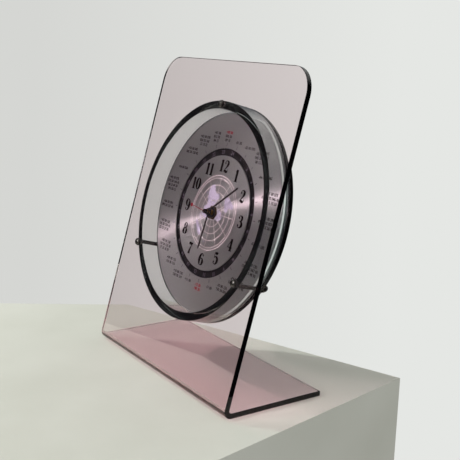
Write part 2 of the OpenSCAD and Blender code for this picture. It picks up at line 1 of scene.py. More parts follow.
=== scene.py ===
"""World clock: the looks of every piece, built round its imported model, with a plain stage."""

import json
import math

import bmesh
import bpy
from bpy.props import FloatProperty, FloatVectorProperty, IntProperty, PointerProperty
from mathutils import Matrix, Vector


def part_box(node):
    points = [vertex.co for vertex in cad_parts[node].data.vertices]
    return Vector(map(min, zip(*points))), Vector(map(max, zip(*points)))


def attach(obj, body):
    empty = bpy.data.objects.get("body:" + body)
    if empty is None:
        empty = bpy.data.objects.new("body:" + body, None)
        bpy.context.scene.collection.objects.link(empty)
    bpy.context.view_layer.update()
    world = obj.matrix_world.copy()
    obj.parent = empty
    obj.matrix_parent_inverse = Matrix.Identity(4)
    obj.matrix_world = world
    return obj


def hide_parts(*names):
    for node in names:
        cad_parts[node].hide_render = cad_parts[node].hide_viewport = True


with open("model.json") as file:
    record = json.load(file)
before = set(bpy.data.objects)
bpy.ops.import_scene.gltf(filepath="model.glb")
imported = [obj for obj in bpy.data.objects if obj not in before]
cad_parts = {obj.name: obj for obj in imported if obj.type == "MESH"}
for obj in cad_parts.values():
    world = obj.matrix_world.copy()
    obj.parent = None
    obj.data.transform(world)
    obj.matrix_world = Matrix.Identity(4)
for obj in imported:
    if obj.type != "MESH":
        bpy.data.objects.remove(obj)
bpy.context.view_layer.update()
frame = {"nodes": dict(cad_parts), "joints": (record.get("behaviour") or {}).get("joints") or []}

bl_info = {
    "name": "World clock",
    "version": (1, 0, 0),
    "blender": (4, 5, 0),
    "location": "View3D > Sidebar > World clock",
    "description": "Builds a desk world clock in a clear drum on a bent acrylic stand",
    "category": "Object",
}

MM = 0.001
NODES = frame["nodes"]

# The dial's own axes: across to the right, up along the panel, out towards the viewer
MINUTE_TURN = next(joint for joint in frame["joints"] if joint["name"] == "minute_turn")
INWARD = Vector(MINUTE_TURN["axis"]).normalized()
OUT = -INWARD
ACROSS = Vector((1, 0, 0))
UP = OUT.cross(ACROSS)
LEAN = math.asin(UP.y)


def depths(node, origin):
    """The least and greatest depth of a node behind a plane through origin."""
    spans = [(vertex.co - origin).dot(INWARD) for vertex in NODES[node].data.vertices]
    return min(spans), max(spans)


AXIS_POINT = Vector(MINUTE_TURN["pos_m"])
CENTRE = AXIS_POINT + INWARD * depths("stand", AXIS_POINT)[0]


def span(node):
    """A node's least and greatest depth behind the front of the panel."""
    return depths(node, CENTRE)


def reach(node, middle=(0, 0)):
    """A node's least and greatest distance from an axis through a place on the dial."""
    middle = CENTRE + ACROSS * middle[0] + UP * middle[1]
    places = [vertex.co - middle for vertex in NODES[node].data.vertices]
    spans = [(place - OUT * place.dot(OUT)).length for place in places]
    return min(spans), max(spans)


def dial(x, y, depth):
    """A place on the dial, at a depth behind the front of the panel, as a place in the scene."""
    return CENTRE + ACROSS * x + UP * y + INWARD * depth


def polar(radius, turn):
    """A flat point at a radius and at a clock angle: 0 at the top, growing clockwise."""
    return Vector((radius * math.sin(turn), radius * math.cos(turn)))


DIAL_MATRIX = Matrix.Translation(CENTRE) @ Matrix((ACROSS, UP, OUT)).transposed().to_4x4()
SHEET_T = span("drum_ring")[0]
PLATE_D = span("outer_dial")[0]
RING_D = span("day_ring")[0]


# Colours and nodes


def colour(code):
    """A linear colour from an sRGB hex value."""
    parts = [int(code[i : i + 2], 16) / 255 for i in (1, 3, 5)]
    linear = [c / 12.92 if c <= 0.04045 else ((c + 0.055) / 1.055) ** 2.4 for c in parts]
    return (*linear, 1.0)


def add(tree, kind, inputs=None, stops=None, **settings):
    """Adds a node with its settings and colour stops, and sets or links its inputs."""
    made = tree.nodes.new(kind)
    for name, value in settings.items():
        setattr(made, name, value)
    for name, value in (inputs or {}).items():
        if isinstance(value, bpy.types.Node):
            value = value.outputs[0]
        if isinstance(value, bpy.types.NodeSocket):
            tree.links.new(value, made.inputs[name])
        else:
            made.inputs[name].default_value = value
    if stops:
        tones = made.color_ramp.elements
        for tone, (place, shade) in zip((tones[0], tones[1]), (stops[0], stops[-1])):
            tone.position, tone.color = place, shade
        for place, shade in stops[1:-1]:
            tones.new(place).color = shade
    return made


def material(name):
    """A material from the list of finishes, made once."""
    found = bpy.data.materials.get(name)
    if found:
        return found
    made = bpy.data.materials.new(name)
    made.use_nodes = True
    tree = made.node_tree
    tree.nodes.clear()
    build, *tones = FINISHES[name]
    shader = build(tree, *tones)
    surface, volume = shader if isinstance(shader, tuple) else (shader, None)
    output = add(tree, "ShaderNodeOutputMaterial", {"Surface": surface})
    if volume:
        tree.links.new(volume.outputs[0], output.inputs["Volume"])
    return made


# How each kind of material is made


def clear_plastic(tree, absorbed, density, lamp_tint):
    """Cast acrylic, IOR 1.49: sharp reflections, and a tint that grows with its depth.

    Lamps shine through each face for shadow rays, tinted by lamp_tint."""
    glass = add(tree, "ShaderNodeBsdfGlass", {"Color": (1, 1, 1, 1), "Roughness": 0.0, "IOR": 1.49})
    through = add(tree, "ShaderNodeBsdfTransparent", {"Color": lamp_tint})
    shadow = add(tree, "ShaderNodeLightPath").outputs["Is Shadow Ray"]
    surface = add(tree, "ShaderNodeMixShader", {0: shadow, 1: glass, 2: through})
    return surface, add(tree, "ShaderNodeVolumeAbsorption", {"Color": absorbed, "Density": density})


def brushed(tree, dark, light):
    """Metal brushed in circles round the dial's centre, with a satin lacquer that dulls it.

    Scratches 0.25 mm apart, drawn coarser than real so that they show. They spread a light
    into two streaks that meet at the centre."""
    where = add(tree, "ShaderNodeTexCoord").outputs["Object"]
    place = add(tree, "ShaderNodeVectorMath", {0: where, 1: tuple(CENTRE)}, operation="SUBTRACT")
    depth = add(tree, "ShaderNodeVectorMath", {0: place, 1: tuple(OUT)}, operation="DOT_PRODUCT")
    lift = {0: tuple(OUT), "Scale": depth.outputs["Value"]}
    lifted = add(tree, "ShaderNodeVectorMath", lift, operation="SCALE")
    flat = add(tree, "ShaderNodeVectorMath", {0: place, 1: lifted}, operation="SUBTRACT")
    radial = add(tree, "ShaderNodeVectorMath", {0: flat}, operation="NORMALIZE")
    radius = add(tree, "ShaderNodeVectorMath", {0: flat}, operation="LENGTH").outputs["Value"]
    scratch = 0.25 * MM
    lines = {"W": radius, "Scale": 1 / scratch, "Detail": 4.0, "Roughness": 0.7}
    scratches = add(tree, "ShaderNodeTexNoise", lines, noise_dimensions="1D").outputs["Fac"]
    stops = [(0.3, colour(dark)), (0.7, colour(light))]
    shade = add(tree, "ShaderNodeValToRGB", {"Fac": scratches}, stops)
    gloss = {"Metallic": 0.82, "Roughness": 0.28, "Anisotropic": 1.0}
    inputs = {"Base Color": shade, "Tangent": radial, **gloss}
    return add(tree, "ShaderNodeBsdfPrincipled", inputs)


def grain(tree, cells, detail, stops):
    """Noise of so many cells per metre over a piece, and two tones mixed by it."""
    where = add(tree, "ShaderNodeTexCoord").outputs["Object"]
    inputs = {"Vector": where, "Scale": cells, "Detail": detail}
    value = add(tree, "ShaderNodeTexNoise", inputs).outputs["Fac"]
    stops = [(place, colour(code)) for place, code in stops]
    return value, add(tree, "ShaderNodeValToRGB", {"Fac": value}, stops)


def textured(tree, cells, detail, stops, height, values):
    """A surface in two tones, raised by the grain that mixes them."""
    value, shade = grain(tree, cells, detail, stops)
    relief = {"Height": value, "Strength": 1.0, "Distance": height}
    inputs = {"Base Color": shade, "Normal": add(tree, "ShaderNodeBump", relief), **values}
    return add(tree, "ShaderNodeBsdfPrincipled", inputs)


def enamel(tree, dark, light):
    """Satin enamel with fine orange peel."""
    gloss = {"Roughness": 0.6, "Specular IOR Level": 0.1}
    return textured(tree, 900.0, 3.0, [(0.3, dark), (0.7, light)], 0.004 * MM, gloss)


def screen_ink(tree, dark, light):
    """Screen-printed ink: flat and matt, with small changes in its density."""
    shade = grain(tree, 1800.0, 3.0, [(0.35, dark), (0.7, light)])[1]
    inputs = {"Base Color": shade, "Roughness": 0.7, "Specular IOR Level": 0.04}
    return add(tree, "ShaderNodeBsdfPrincipled", inputs)


def lacquer(tree, dark, light):
    """Lacquered thin metal: smooth, glossy, with faint waviness."""
    gloss = {"Roughness": 0.3, "Coat Weight": 0.4, "Coat Roughness": 0.12}
    return textured(tree, 400.0, 3.0, [(0.35, dark), (0.65, light)], 0.003 * MM, gloss)


def turned_metal(tree, dark, light, rough):
    """Turned or plated metal: fine tool marks in its colour and roughness."""
    value, shade = grain(tree, 1500.0, 5.0, [(0.3, dark), (0.7, light)])
    spread = {"Value": value, "To Min": rough * 0.8, "To Max": rough * 1.2}
    rough = add(tree, "ShaderNodeMapRange", spread)
    inputs = {"Base Color": shade, "Roughness": rough, "Metallic": 1.0}
    return add(tree, "ShaderNodeBsdfPrincipled", inputs)


def moulded(tree, dark, light, rough, grit, height, sheen=0.5):
    """Moulded plastic: spark-eroded texture, with grit in grains per metre."""
    gloss = {"Roughness": rough, "IOR": 1.5, "Specular IOR Level": sheen}
    return textured(tree, grit, 4.0, [(0.35, dark), (0.65, light)], height, gloss)


def wound_wire(tree, dark, light):
    """Enamelled wire, 0.1 mm thick, drawn as 0.2 mm turns so that they show."""
    where = add(tree, "ShaderNodeTexCoord").outputs["Object"]
    # A wave repeats after pi / 10 of a unit, which is 0.196 mm at this scale
    bands = {"Vector": where, "Scale": 1600.0, "Distortion": 0.4}
    wave = add(tree, "ShaderNodeTexWave", bands, wave_type="BANDS", bands_direction="X")
    turns = wave.outputs["Fac"]
    stops = [(0.1, colour(dark)), (0.9, colour(light))]
    shade = add(tree, "ShaderNodeValToRGB", {"Fac": turns}, stops)
    relief = {"Height": turns, "Strength": 1.0, "Distance": 0.08 * MM}
    inputs = {"Base Color": shade, "Normal": add(tree, "ShaderNodeBump", relief)}
    inputs.update({"Metallic": 0.8, "Roughness": 0.3})
    return add(tree, "ShaderNodeBsdfPrincipled", inputs)


def battery_jacket(tree, steel, film, band):
    """A cell: a printed film with a band in another colour, and bright steel ends."""
    low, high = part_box("battery")
    where = add(tree, "ShaderNodeTexCoord").outputs["Object"]
    along = add(tree, "ShaderNodeSeparateXYZ", {"Vector": where}).outputs["X"]
    length = {"Value": along, "From Min": low.x, "From Max": high.x}
    share = add(tree, "ShaderNodeMapRange", length)
    start = 1.2 * MM / (high.x - low.x)
    end = 1 - 2.4 * start
    steel, film, band = colour(steel), colour(film), colour(band)
    stops = [(0.0, steel), (start, film), (0.70, band), (end, steel), (1.0, steel)]
    shade = add(tree, "ShaderNodeValToRGB", {"Fac": share}, stops)
    bare, coated = (1, 1, 1, 1), (0.2, 0.2, 0.2, 1)
    stops = [(0.0, bare), (start, coated), (end, bare), (1.0, bare)]
    metal = add(tree, "ShaderNodeValToRGB", {"Fac": share}, stops)
    for ramp in (shade, metal):
        ramp.color_ramp.interpolation = "CONSTANT"
    inputs = {"Base Color": shade, "Metallic": metal, "Roughness": 0.28}
    return add(tree, "ShaderNodeBsdfPrincipled", inputs)


def plaster(tree, dark, light):
    """A plain pale surface with a faint cloudy tone and a fine grit."""
    shade = grain(tree, 9.0, 6.0, [(0.3, dark), (0.7, light)])[1]
    where = add(tree, "ShaderNodeTexCoord").outputs["Object"]
    grit = add(tree, "ShaderNodeTexNoise", {"Vector": where, "Scale": 700.0, "Detail": 4.0})
    relief = {"Height": grit.outputs["Fac"], "Strength": 1.0, "Distance": 0.06 * MM}
    inputs = {"Base Color": shade, "Normal": add(tree, "ShaderNodeBump", relief), "Roughness": 0.9}
    return add(tree, "ShaderNodeBsdfPrincipled", inputs)


# Every material, named for what the real one is, and what it gives the eye
FINISHES = {
    # A smoky rose dye: pale through the sheet's face, near black through its edges
    "Cast acrylic, rose": (clear_plastic, (0.54, 0.0, 0.08, 1), 40.0, (0.77, 0.69, 0.73, 1)),
    # No tint through its face, dark grey green along its length
    "Cast acrylic, clear": (clear_plastic, (0.0, 0.30, 0.22, 1), 22.0, (0.95, 0.95, 0.95, 1)),
    # The two dial plates: grey, with two bright streaks
    "Aluminium, brushed in circles": (brushed, "#a9b3b0", "#b4bebb"),
    # The day ring: black with a faint blue cast
    "Enamel, satin black": (enamel, "#040507", "#08090c"),
    # Numerals, ticks and most labels: a dense black without a shine
    "Ink, black": (screen_ink, "#070606", "#100f0f"),
    # The other labels: a dull, dark red
    "Ink, red": (screen_ink, "#96232c", "#a52f37"),
    # The lands of the map: a flat, greyish lilac
    "Ink, pale lilac": (screen_ink, "#afb4c8", "#c1c6d7"),
    # The lines of the map: thin and nearly white
    "Ink, white": (screen_ink, "#e9ebeb", "#f2f3f3"),
    # The digits of the day ring, which hardly show on the black
    "Ink, pale grey": (screen_ink, "#56555d", "#6c6b73"),
    # Glossy black hands and the tail of the second hand
    "Lacquer, black": (lacquer, "#060606", "#0f0e0e"),
    # The front of the second hand, a deep red
    "Lacquer, red": (lacquer, "#84101f", "#9a1728"),
    # Screws and nuts, dark and half bright
    "Steel, oiled": (turned_metal, "#4c4846", "#746f6b", 0.26),
    # Drawn arbors and small screws, bright
    "Steel, bright": (turned_metal, "#a6a5a3", "#c9c8c5", 0.24),
    # Wheels and the sleeve, a warm yellow
    "Brass, stamped": (turned_metal, "#a88445", "#c8a35c", 0.28),
    # The nut, darkened by age to brown
    "Brass, aged": (turned_metal, "#4c453b", "#6f6656", 0.3),
    # The cap on the second hand, satin and nearly black
    "Steel, black oxide": (turned_metal, "#262322", "#3a3532", 0.36),
    # Spring strip and the crystal's can, bright and warm
    "Nickel plate": (turned_metal, "#b9b4aa", "#d2cdc2", 0.18),
    # Punched soft iron, grey and satin
    "Iron laminations": (turned_metal, "#77767a", "#8d8c90", 0.4),
    # The housing and the knob: a fine spark texture gives them a soft sheen
    "ABS, black, spark texture": (moulded, "#19191b", "#222224", 0.5, 2600.0, 0.03 * MM),
    # Moulded gears, off-white, smooth and waxy
    "Acetal, white": (moulded, "#dedcd2", "#ebe9e0", 0.34, 700.0, 0.004 * MM),
    # The bridge plate, pale and half matt
    "Moulding, pale": (moulded, "#bdbcb6", "#c9c8c2", 0.45, 1400.0, 0.01 * MM),
    # The seal and the washer behind the disc: matt, with a fine cloth-like tooth
    "Rubber, matt black": (moulded, "#060606", "#0c0c0c", 0.9, 2200.0, 0.03 * MM, 0.1),
    # Front washers, smooth and a little waxy
    "Nylon, black": (moulded, "#1a1919", "#232121", 0.4, 900.0, 0.004 * MM),
    # Coated circuit laminate with a faint woven glow
    "Laminate, green": (moulded, "#12482a", "#1a5c36", 0.3, 1600.0, 0.008 * MM),
    # The moulded drop over the chip
    "Resin, black": (moulded, "#141414", "#1d1d1d", 0.6, 2400.0, 0.01 * MM),
    # The sintered magnet, dark grey and slightly rough
    "Ferrite": (moulded, "#36363a", "#46464b", 0.45, 1800.0, 0.01 * MM),
    # The coil, glossy red brown
    "Copper wire": (wound_wire, "#7a3416", "#c96a35"),
    # Bright ends, a black film and a copper-coloured band
    "Battery jacket": (battery_jacket, "#bfbdb8", "#17191d", "#a9764a"),
    # What the clock stands on: pale, faintly cloudy and matt
    "Plaster, pale": (plaster, "#c2c4b8", "#cccec3"),
}


# Meshes


def smooth(mesh, degrees):
    """Shades a mesh smooth, but for edges sharper than an angle."""
    for face in mesh.polygons:
        face.use_smooth = True
    mesh.set_sharp_from_angle(angle=math.radians(degrees))


def object_of(name, mesh, finish, smooth_under=None):
    """A mesh as an object in one material."""
    if smooth_under:
        smooth(mesh, smooth_under)
    mesh.materials.clear()
    mesh.materials.append(finish)
    made = bpy.data.objects.new(name, mesh)
    bpy.context.scene.collection.objects.link(made)
    return made


def mesh_of(name, shape):
    """A finished bmesh as a mesh."""
    mesh = bpy.data.meshes.new(name)
    shape.to_mesh(mesh)
    shape.free()
    return mesh


def finish_mesh(name, shape, finish, smooth_under=35.0):
    """Turns a bmesh into an object with its doubles merged and its normals outward."""
    bmesh.ops.remove_doubles(shape, verts=shape.verts, dist=1e-7)
    bmesh.ops.recalc_face_normals(shape, faces=shape.faces)
    return object_of(name, mesh_of(name, shape), finish, smooth_under)


def solid_of(node, finish, bevel, name, smooth_under=35.0):
    """A clean copy of a node's mesh, its rims rounded."""
    shape = bmesh.new()
    shape.from_mesh(NODES[node].data)
    bmesh.ops.remove_doubles(shape, verts=shape.verts, dist=2e-7)
    flat, rim = math.radians(1.0), math.radians(40)
    bmesh.ops.dissolve_limit(shape, angle_limit=flat, verts=shape.verts, edges=shape.edges)
    made = object_of(name, mesh_of(name, shape), finish, smooth_under)
    rounding = made.modifiers.new("Rounded rims", "BEVEL")
    rounding.width = bevel
    rounding.segments = 2
    rounding.limit_method = "ANGLE"
    rounding.angle_limit = rim
    rounding.use_clamp_overlap = True
    rounding.harden_normals = True
    return made


def joined(name, parts, finish):
    """Several mesh objects as one."""
    shape = bmesh.new()
    for part in parts:
        shape.from_mesh(part.data)
        bpy.data.objects.remove(part)
    return object_of(name, mesh_of(name, shape), finish)


def applied(made, name, finish, matrix=None):
    """The evaluated result of an object with modifiers or text, as a plain mesh object."""
    bpy.context.view_layer.update()
    graph = bpy.context.evaluated_depsgraph_get()
    mesh = bpy.data.meshes.new_from_object(made.evaluated_get(graph))
    mesh.transform((matrix or Matrix.Identity(4)) @ made.matrix_world)
    result = object_of(name, mesh, finish)
    bpy.data.objects.remove(made)
    return result


def keep(piece, body, node, replaces=True):
    """Gives a finished piece its body and, where it replaces its node, hides that node so that the
    piece takes its place.
    """
    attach(piece, body)
    if replaces:
        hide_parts(node)


def dress(finish, *nodes):
    """Gives nodes that keep their mesh a material."""
    for node in nodes:
        mesh = NODES[node].data
        mesh.materials.clear()
        mesh.materials.append(material(finish))


def circle(radius, count, middle=(0, 0)):
    """Points on a circle, anticlockwise."""
    x, y = middle
    turns = [2 * math.pi * k / count for k in range(count)]
    return [Vector((x + radius * math.cos(a), y + radius * math.sin(a))) for a in turns]


def hole(radius, count=48, middle=(0, 0)):
    """A circle that runs clockwise, for a hole."""
    return list(reversed(circle(radius, count, middle)))


def inset(loop, amount):
    """A closed loop moved to its left by an amount at every point, less at sharp corners."""
    least_lean = 0.3
    moved = []
    for k, point in enumerate(loop):
        before = (point - loop[k - 1]).normalized()
        after = (loop[(k + 1) % len(loop)] - point).normalized()
        left = Vector((-before.y - after.y, before.x + after.x))
        left.normalize()
        lean = max(least_lean, left.dot(Vector((-before.y, before.x))))
        moved.append(point + left * amount / lean)
    return moved


def cap(shape, rings):
    """Fills the flat area between closed rings of vertices."""
    edges = []
    for ring in rings:
        for k, vertex in enumerate(ring):
            pair = (vertex, ring[(k + 1) % len(ring)])
            edges.append(shape.edges.get(pair) or shape.edges.new(pair))
    bmesh.ops.triangle_fill(shape, use_beauty=True, use_dissolve=False, edges=edges)


def skin(shape, rows):
    """Joins rows of vertices, each a closed ring, with faces. The first may be a single tip."""
    for one, two in zip(rows, rows[1:]):
        for k in range(len(two)):
            n = (k + 1) % len(two)
            if len(one) == 1:
                shape.faces.new((one[0], two[k], two[n]))
            else:
                shape.faces.new((one[k], one[n], two[n], two[k]))


def walls(shape, loops, near, far, chamfer, where=dial):
    """The sides of a plate, with a small chamfer on each rim: the rows of every loop."""
    steps = ((near, chamfer), (near + chamfer, 0), (far - chamfer, 0), (far, chamfer))
    stacks = []
    for loop in loops:
        rows = []
        for depth, amount in steps:
            points = inset(loop, amount) if amount else loop
            rows.append([shape.verts.new(where(p.x, p.y, depth)) for p in points])
        skin(shape, rows)
        stacks.append(rows)
    return stacks


def plate(name, loops, near, far, chamfer, finish, smooth_under=25.0):
    """A plate between two depths. The first loop is its outline and runs anticlockwise,
    the rest are holes and run clockwise."""
    shape = bmesh.new()
    stacks = walls(shape, loops, near, far, chamfer)
    for level in (0, -1):
        cap(shape, [rows[level] for rows in stacks])
    return finish_mesh(name, shape, finish, smooth_under)


def turned_copies(name, piece, count, finish, first_turn=0.0):
    """Copies of a piece, turned about the dial's axis by a small node tree."""
    tree = bpy.data.node_groups.new("Copies round the dial", "GeometryNodeTree")
    face = tree.interface
    face.new_socket("Geometry", in_out="INPUT", socket_type="NodeSocketGeometry")
    copies = face.new_socket("Copies", in_out="INPUT", socket_type="NodeSocketInt")
    first = face.new_socket("First turn", in_out="INPUT", socket_type="NodeSocketFloat")
    face.new_socket("Geometry", in_out="OUTPUT", socket_type="NodeSocketGeometry")
    entry = add(tree, "NodeGroupInput").outputs
    points = add(tree, "GeometryNodeMeshLine", {"Count": entry["Copies"], "Offset": (0, 0, 0)})
    inputs = {"Points": points, "Instance": entry["Geometry"]}
    placed = add(tree, "GeometryNodeInstanceOnPoints", inputs)
    index = add(tree, "GeometryNodeInputIndex")
    step = add(tree, "ShaderNodeMath", {0: -2 * math.pi, 1: entry["Copies"]}, operation="DIVIDE")
    inputs = {0: index, 1: step, 2: entry["First turn"]}
    turn = add(tree, "ShaderNodeMath", inputs, operation="MULTIPLY_ADD")
    angle = add(tree, "ShaderNodeCombineXYZ", {"Z": turn})
    inputs = {"Instances": placed, "Rotation": angle, "Local Space": False}
    rotated = add(tree, "GeometryNodeRotateInstances", inputs)
    real = add(tree, "GeometryNodeRealizeInstances", {"Geometry": rotated})
    coated = add(tree, "GeometryNodeSetMaterial", {"Geometry": real, "Material": finish})
    add(tree, "NodeGroupOutput", {"Geometry": coated})
    repeat = piece.modifiers.new("Copies", "NODES")
    repeat.node_group = tree
    repeat[copies.identifier] = count
    repeat[first.identifier] = first_turn
    return applied(piece, name, finish, DIAL_MATRIX)


# Strokes and flat prints, drawn on the dial

# Share of a print's thickness that lies inside the plate under it, and the same for small text
SUNK = 0.25
TEXT_SUNK = 0.2


def flat_place(x, y, z):
    """A place in the dial's own axes, for pieces that are turned about it later."""
    return Vector((x, y, z))


def eased(p, q, r, w, t):
    """A share t of the way from q to r, on a smooth curve that comes from p and goes on to w."""
    square = (2 * p - 5 * q + 4 * r - w) * t * t
    cube = (3 * q - p - 3 * r + w) * t**3
    return 0.5 * (2 * q + (r - p) * t + square + cube)


def smooth_path(points, steps=6):
    """A smooth line through points of x, y and width."""
    last = len(points) - 1
    found = []
    for k in range(last):
        four = [points[min(max(k + o, 0), last)] for o in (-1, 0, 1, 2)]
        for s in range(steps):
            found.append(tuple(eased(*values, s / steps) for values in zip(*four)))
    found.append(tuple(points[-1]))
    return found


def ribbon(shape, path, near, far, closed=False, where=dial):
    """A thin flat stroke of changing width along a path of x, y and width."""
    rows = []
    count = len(path)
    for k, (x, y, width) in enumerate(path):
        ahead = path[(k + 1) % count] if closed else path[min(k + 1, count - 1)]
        behind = path[k - 1] if closed else path[max(k - 1, 0)]
        run = Vector((ahead[0] - behind[0], ahead[1] - behind[1])).normalized()
        side = Vector((-run.y, run.x)) * width / 2
        left, right = (x + side.x, y + side.y), (x - side.x, y - side.y)
        corners = ((*left, near), (*right, near), (*right, far), (*left, far))
        rows.append([shape.verts.new(where(*corner)) for corner in corners])
    skin(shape, rows + rows[:1] if closed else rows)
    if not closed:
        shape.faces.new(rows[0])
        shape.faces.new(list(reversed(rows[-1])))


def prism(shape, loop, near, far):
    """A thin flat solid with a closed outline."""
    rows = [[shape.verts.new(dial(x, y, depth)) for x, y in loop] for depth in (near, far)]
    skin(shape, rows)
    for row in rows:
        cap(shape, [row])


def ring_path(radius, width, count=160):
    """A path of even width round the dial."""
    return [(*polar(radius, 2 * math.pi * k / count), width) for k in range(count)]


def rays(name, path, front, back, count, finish, first_turn=0.0):
    """Copies round the dial of one straight stroke that points up, between two heights."""
    shape = bmesh.new()
    ribbon(shape, path, front, back, where=flat_place)
    ray = finish_mesh(name + "_one", shape, finish)
    return turned_copies(name, ray, count, finish, first_turn)


# How quickly a digit's oval grows thin away from its sides
THINNING = 1.6


def oval(middle, half_w, half_h, side, ends, count=28):
    """A closed loop for a digit: thick at its sides, thin at top and bottom."""
    found = []
    for k in range(count):
        a = 2 * math.pi * k / count
        width = ends + (side - ends) * abs(math.cos(a)) ** THINNING
        found.append((middle[0] + half_w * math.cos(a), middle[1] + half_h * math.sin(a), width))
    return found


# Digits of a high-contrast serif face, one unit high: strokes as x, y and width, then dots
THIN = 0.04
SIX = [
    (0.54, 0.87, 0.03), (0.46, 0.96, THIN), (0.34, 0.975, 0.05), (0.18, 0.85, 0.13),
    (0.1, 0.6, 0.18), (0.1, 0.35, 0.18), (0.19, 0.09, 0.1), (0.34, 0.02, THIN), (0.5, 0.1, 0.12),
    (0.565, 0.3, 0.18), (0.5, 0.5, 0.12), (0.37, 0.59, 0.05), (0.24, 0.54, THIN),
    (0.17, 0.42, 0.03),
]
DIGIT_STROKES = {
    "1": [
        [(0.3, 0.0, 0.17), (0.3, 0.5, 0.17), (0.3, 1.0, 0.17)],
        [(0.08, 0.02, THIN), (0.52, 0.02, THIN)],
        [(0.08, 0.84, 0.03), (0.2, 0.9, 0.05), (0.3, 0.97, 0.06)],
    ],
    "2": [
        [
            (0.08, 0.76, 0.03), (0.15, 0.92, THIN), (0.33, 0.975, 0.05), (0.51, 0.88, 0.13),
            (0.54, 0.72, 0.17), (0.43, 0.5, 0.11), (0.22, 0.25, 0.05), (0.07, 0.05, THIN),
        ],
        [
            (0.06, 0.06, THIN), (0.2, 0.12, 0.1), (0.37, 0.07, 0.15), (0.52, 0.06, 0.1),
            (0.6, 0.16, THIN), (0.63, 0.28, 0.03),
        ],
    ],
    "3": [
        [
            (0.07, 0.8, 0.03), (0.16, 0.94, THIN), (0.32, 0.975, 0.05), (0.49, 0.88, 0.13),
            (0.5, 0.69, 0.14), (0.38, 0.55, 0.06), (0.24, 0.53, 0.03),
        ],
        [
            (0.24, 0.53, 0.03), (0.42, 0.5, 0.07), (0.57, 0.38, 0.16), (0.57, 0.2, 0.17),
            (0.43, 0.05, 0.08), (0.28, 0.02, THIN), (0.13, 0.09, THIN), (0.07, 0.2, 0.03),
        ],
    ],
    "4": [
        [(0.46, 1.0, 0.16), (0.46, 0.5, 0.16), (0.46, 0.0, 0.16)],
        [(0.45, 0.98, THIN), (0.24, 0.63, THIN), (0.04, 0.28, THIN)],
        [(0.03, 0.28, 0.045), (0.66, 0.28, 0.045)],
        [(0.28, 0.02, THIN), (0.64, 0.02, THIN)],
    ],
    "5": [
        [(0.12, 0.98, 0.03), (0.22, 0.92, 0.11), (0.4, 0.91, 0.14), (0.56, 1.0, 0.03)],
        [(0.13, 0.97, THIN), (0.11, 0.5, THIN)],
        [
            (0.11, 0.5, 0.03), (0.22, 0.6, 0.05), (0.38, 0.61, 0.1), (0.56, 0.47, 0.17),
            (0.57, 0.24, 0.17), (0.43, 0.05, 0.08), (0.26, 0.02, THIN), (0.11, 0.09, THIN),
            (0.07, 0.19, 0.03),
        ],
    ],
    "6": [SIX],
    "7": [
        [
            (0.06, 0.76, 0.03), (0.09, 0.92, 0.05), (0.21, 0.92, 0.13), (0.38, 0.88, 0.14),
            (0.54, 0.95, 0.06), (0.64, 0.99, 0.03),
        ],
        [
            (0.62, 0.98, 0.03), (0.44, 0.66, 0.06), (0.32, 0.36, 0.13), (0.28, 0.12, 0.18),
            (0.29, 0.0, 0.18),
        ],
    ],
    "9": [[(0.68 - x, 1 - y, width) for x, y, width in SIX]],
}
DIGIT_OVALS = {
    "0": [((0.34, 0.5), 0.24, 0.475, 0.18, THIN)],
    "8": [((0.34, 0.755), 0.16, 0.215, 0.13, THIN), ((0.34, 0.27), 0.22, 0.25, 0.17, THIN)],
}
DIGIT_DOTS = {
    "2": [(0.14, 0.75)],
    "3": [(0.13, 0.8), (0.13, 0.19)],
    "5": [(0.13, 0.18)],
    "6": [(0.52, 0.85)],
    "9": [(0.16, 0.15)],
}
DOT_R = 0.085
WEIGHT = 1.7
DIGIT_ADVANCE = {"1": 0.6}
USUAL_ADVANCE = 0.7

def serif_number(shape, text, middle, height, near, far):
    """Draws a number with its middle at a place on the dial, upright."""
    advances = [DIGIT_ADVANCE.get(digit, USUAL_ADVANCE) for digit in text]
    pen = middle[0] - sum(advances) * height / 2
    base = middle[1] - height / 2
    for digit, advance in zip(text, advances):
        paths = [(smooth_path(stroke), False) for stroke in DIGIT_STROKES.get(digit, [])]
        paths += [(oval(*sizes), True) for sizes in DIGIT_OVALS.get(digit, [])]
        for path, closed in paths:
            placed = [
                (pen + x * height, base + y * height, w * height * WEIGHT) for x, y, w in path
            ]
            ribbon(shape, placed, near, far, closed)
        for x, y in DIGIT_DOTS.get(digit, []):
            dot = circle(DOT_R * height, 14, (pen + x * height, base + y * height))
            prism(shape, dot, near, far)
        pen += advance * height


# Size of the font, extra thickness of its strokes and mean width of a letter, as shares of the
# height of a digit
FONT_SIZE = 1.37
FONT_WEIGHT = 0.04
LETTER_SHARE = 0.78


def lettering(name, lines, finish, ink):
    """Small plain numbers as one mesh. Each line is text, place, height, turn and depth."""
    made = []
    for text, place, height, turn, depth in lines:
        curve = bpy.data.curves.new(name, "FONT")
        curve.body = text
        curve.size = height * FONT_SIZE
        curve.align_x = "CENTER"
        curve.align_y = "CENTER"
        curve.extrude = ink / 2
        curve.offset = height * FONT_WEIGHT
        curve.resolution_u = 2
        written = bpy.data.objects.new(name, curve)
        bpy.context.scene.collection.objects.link(written)
        spot = Matrix.Translation((place[0], place[1], -depth + ink / 2 - TEXT_SUNK * ink))
        matrix = DIAL_MATRIX @ spot @ Matrix.Rotation(-turn, 4, "Z")
        made.append(applied(written, name, finish, matrix))
    return joined(name, made, finish)


# Lines in each label and red lines at the top and bottom, clockwise from the top
LABEL_LINES = (3, 1, 1, 3, 1, 3, 3, 1, 3, 2, 2, 1, 2, 1, 2, 2, 3, 3, 2, 4, 1, 2, 3, 3)
RED_LINES = {0: 1, 12: 2}
# Labels near the top and bottom are short: a third and a fourth group of digits come where a
# label stands this far to a side, as a share of its distance from the centre
LONGER_FROM = (0.35, 0.75)

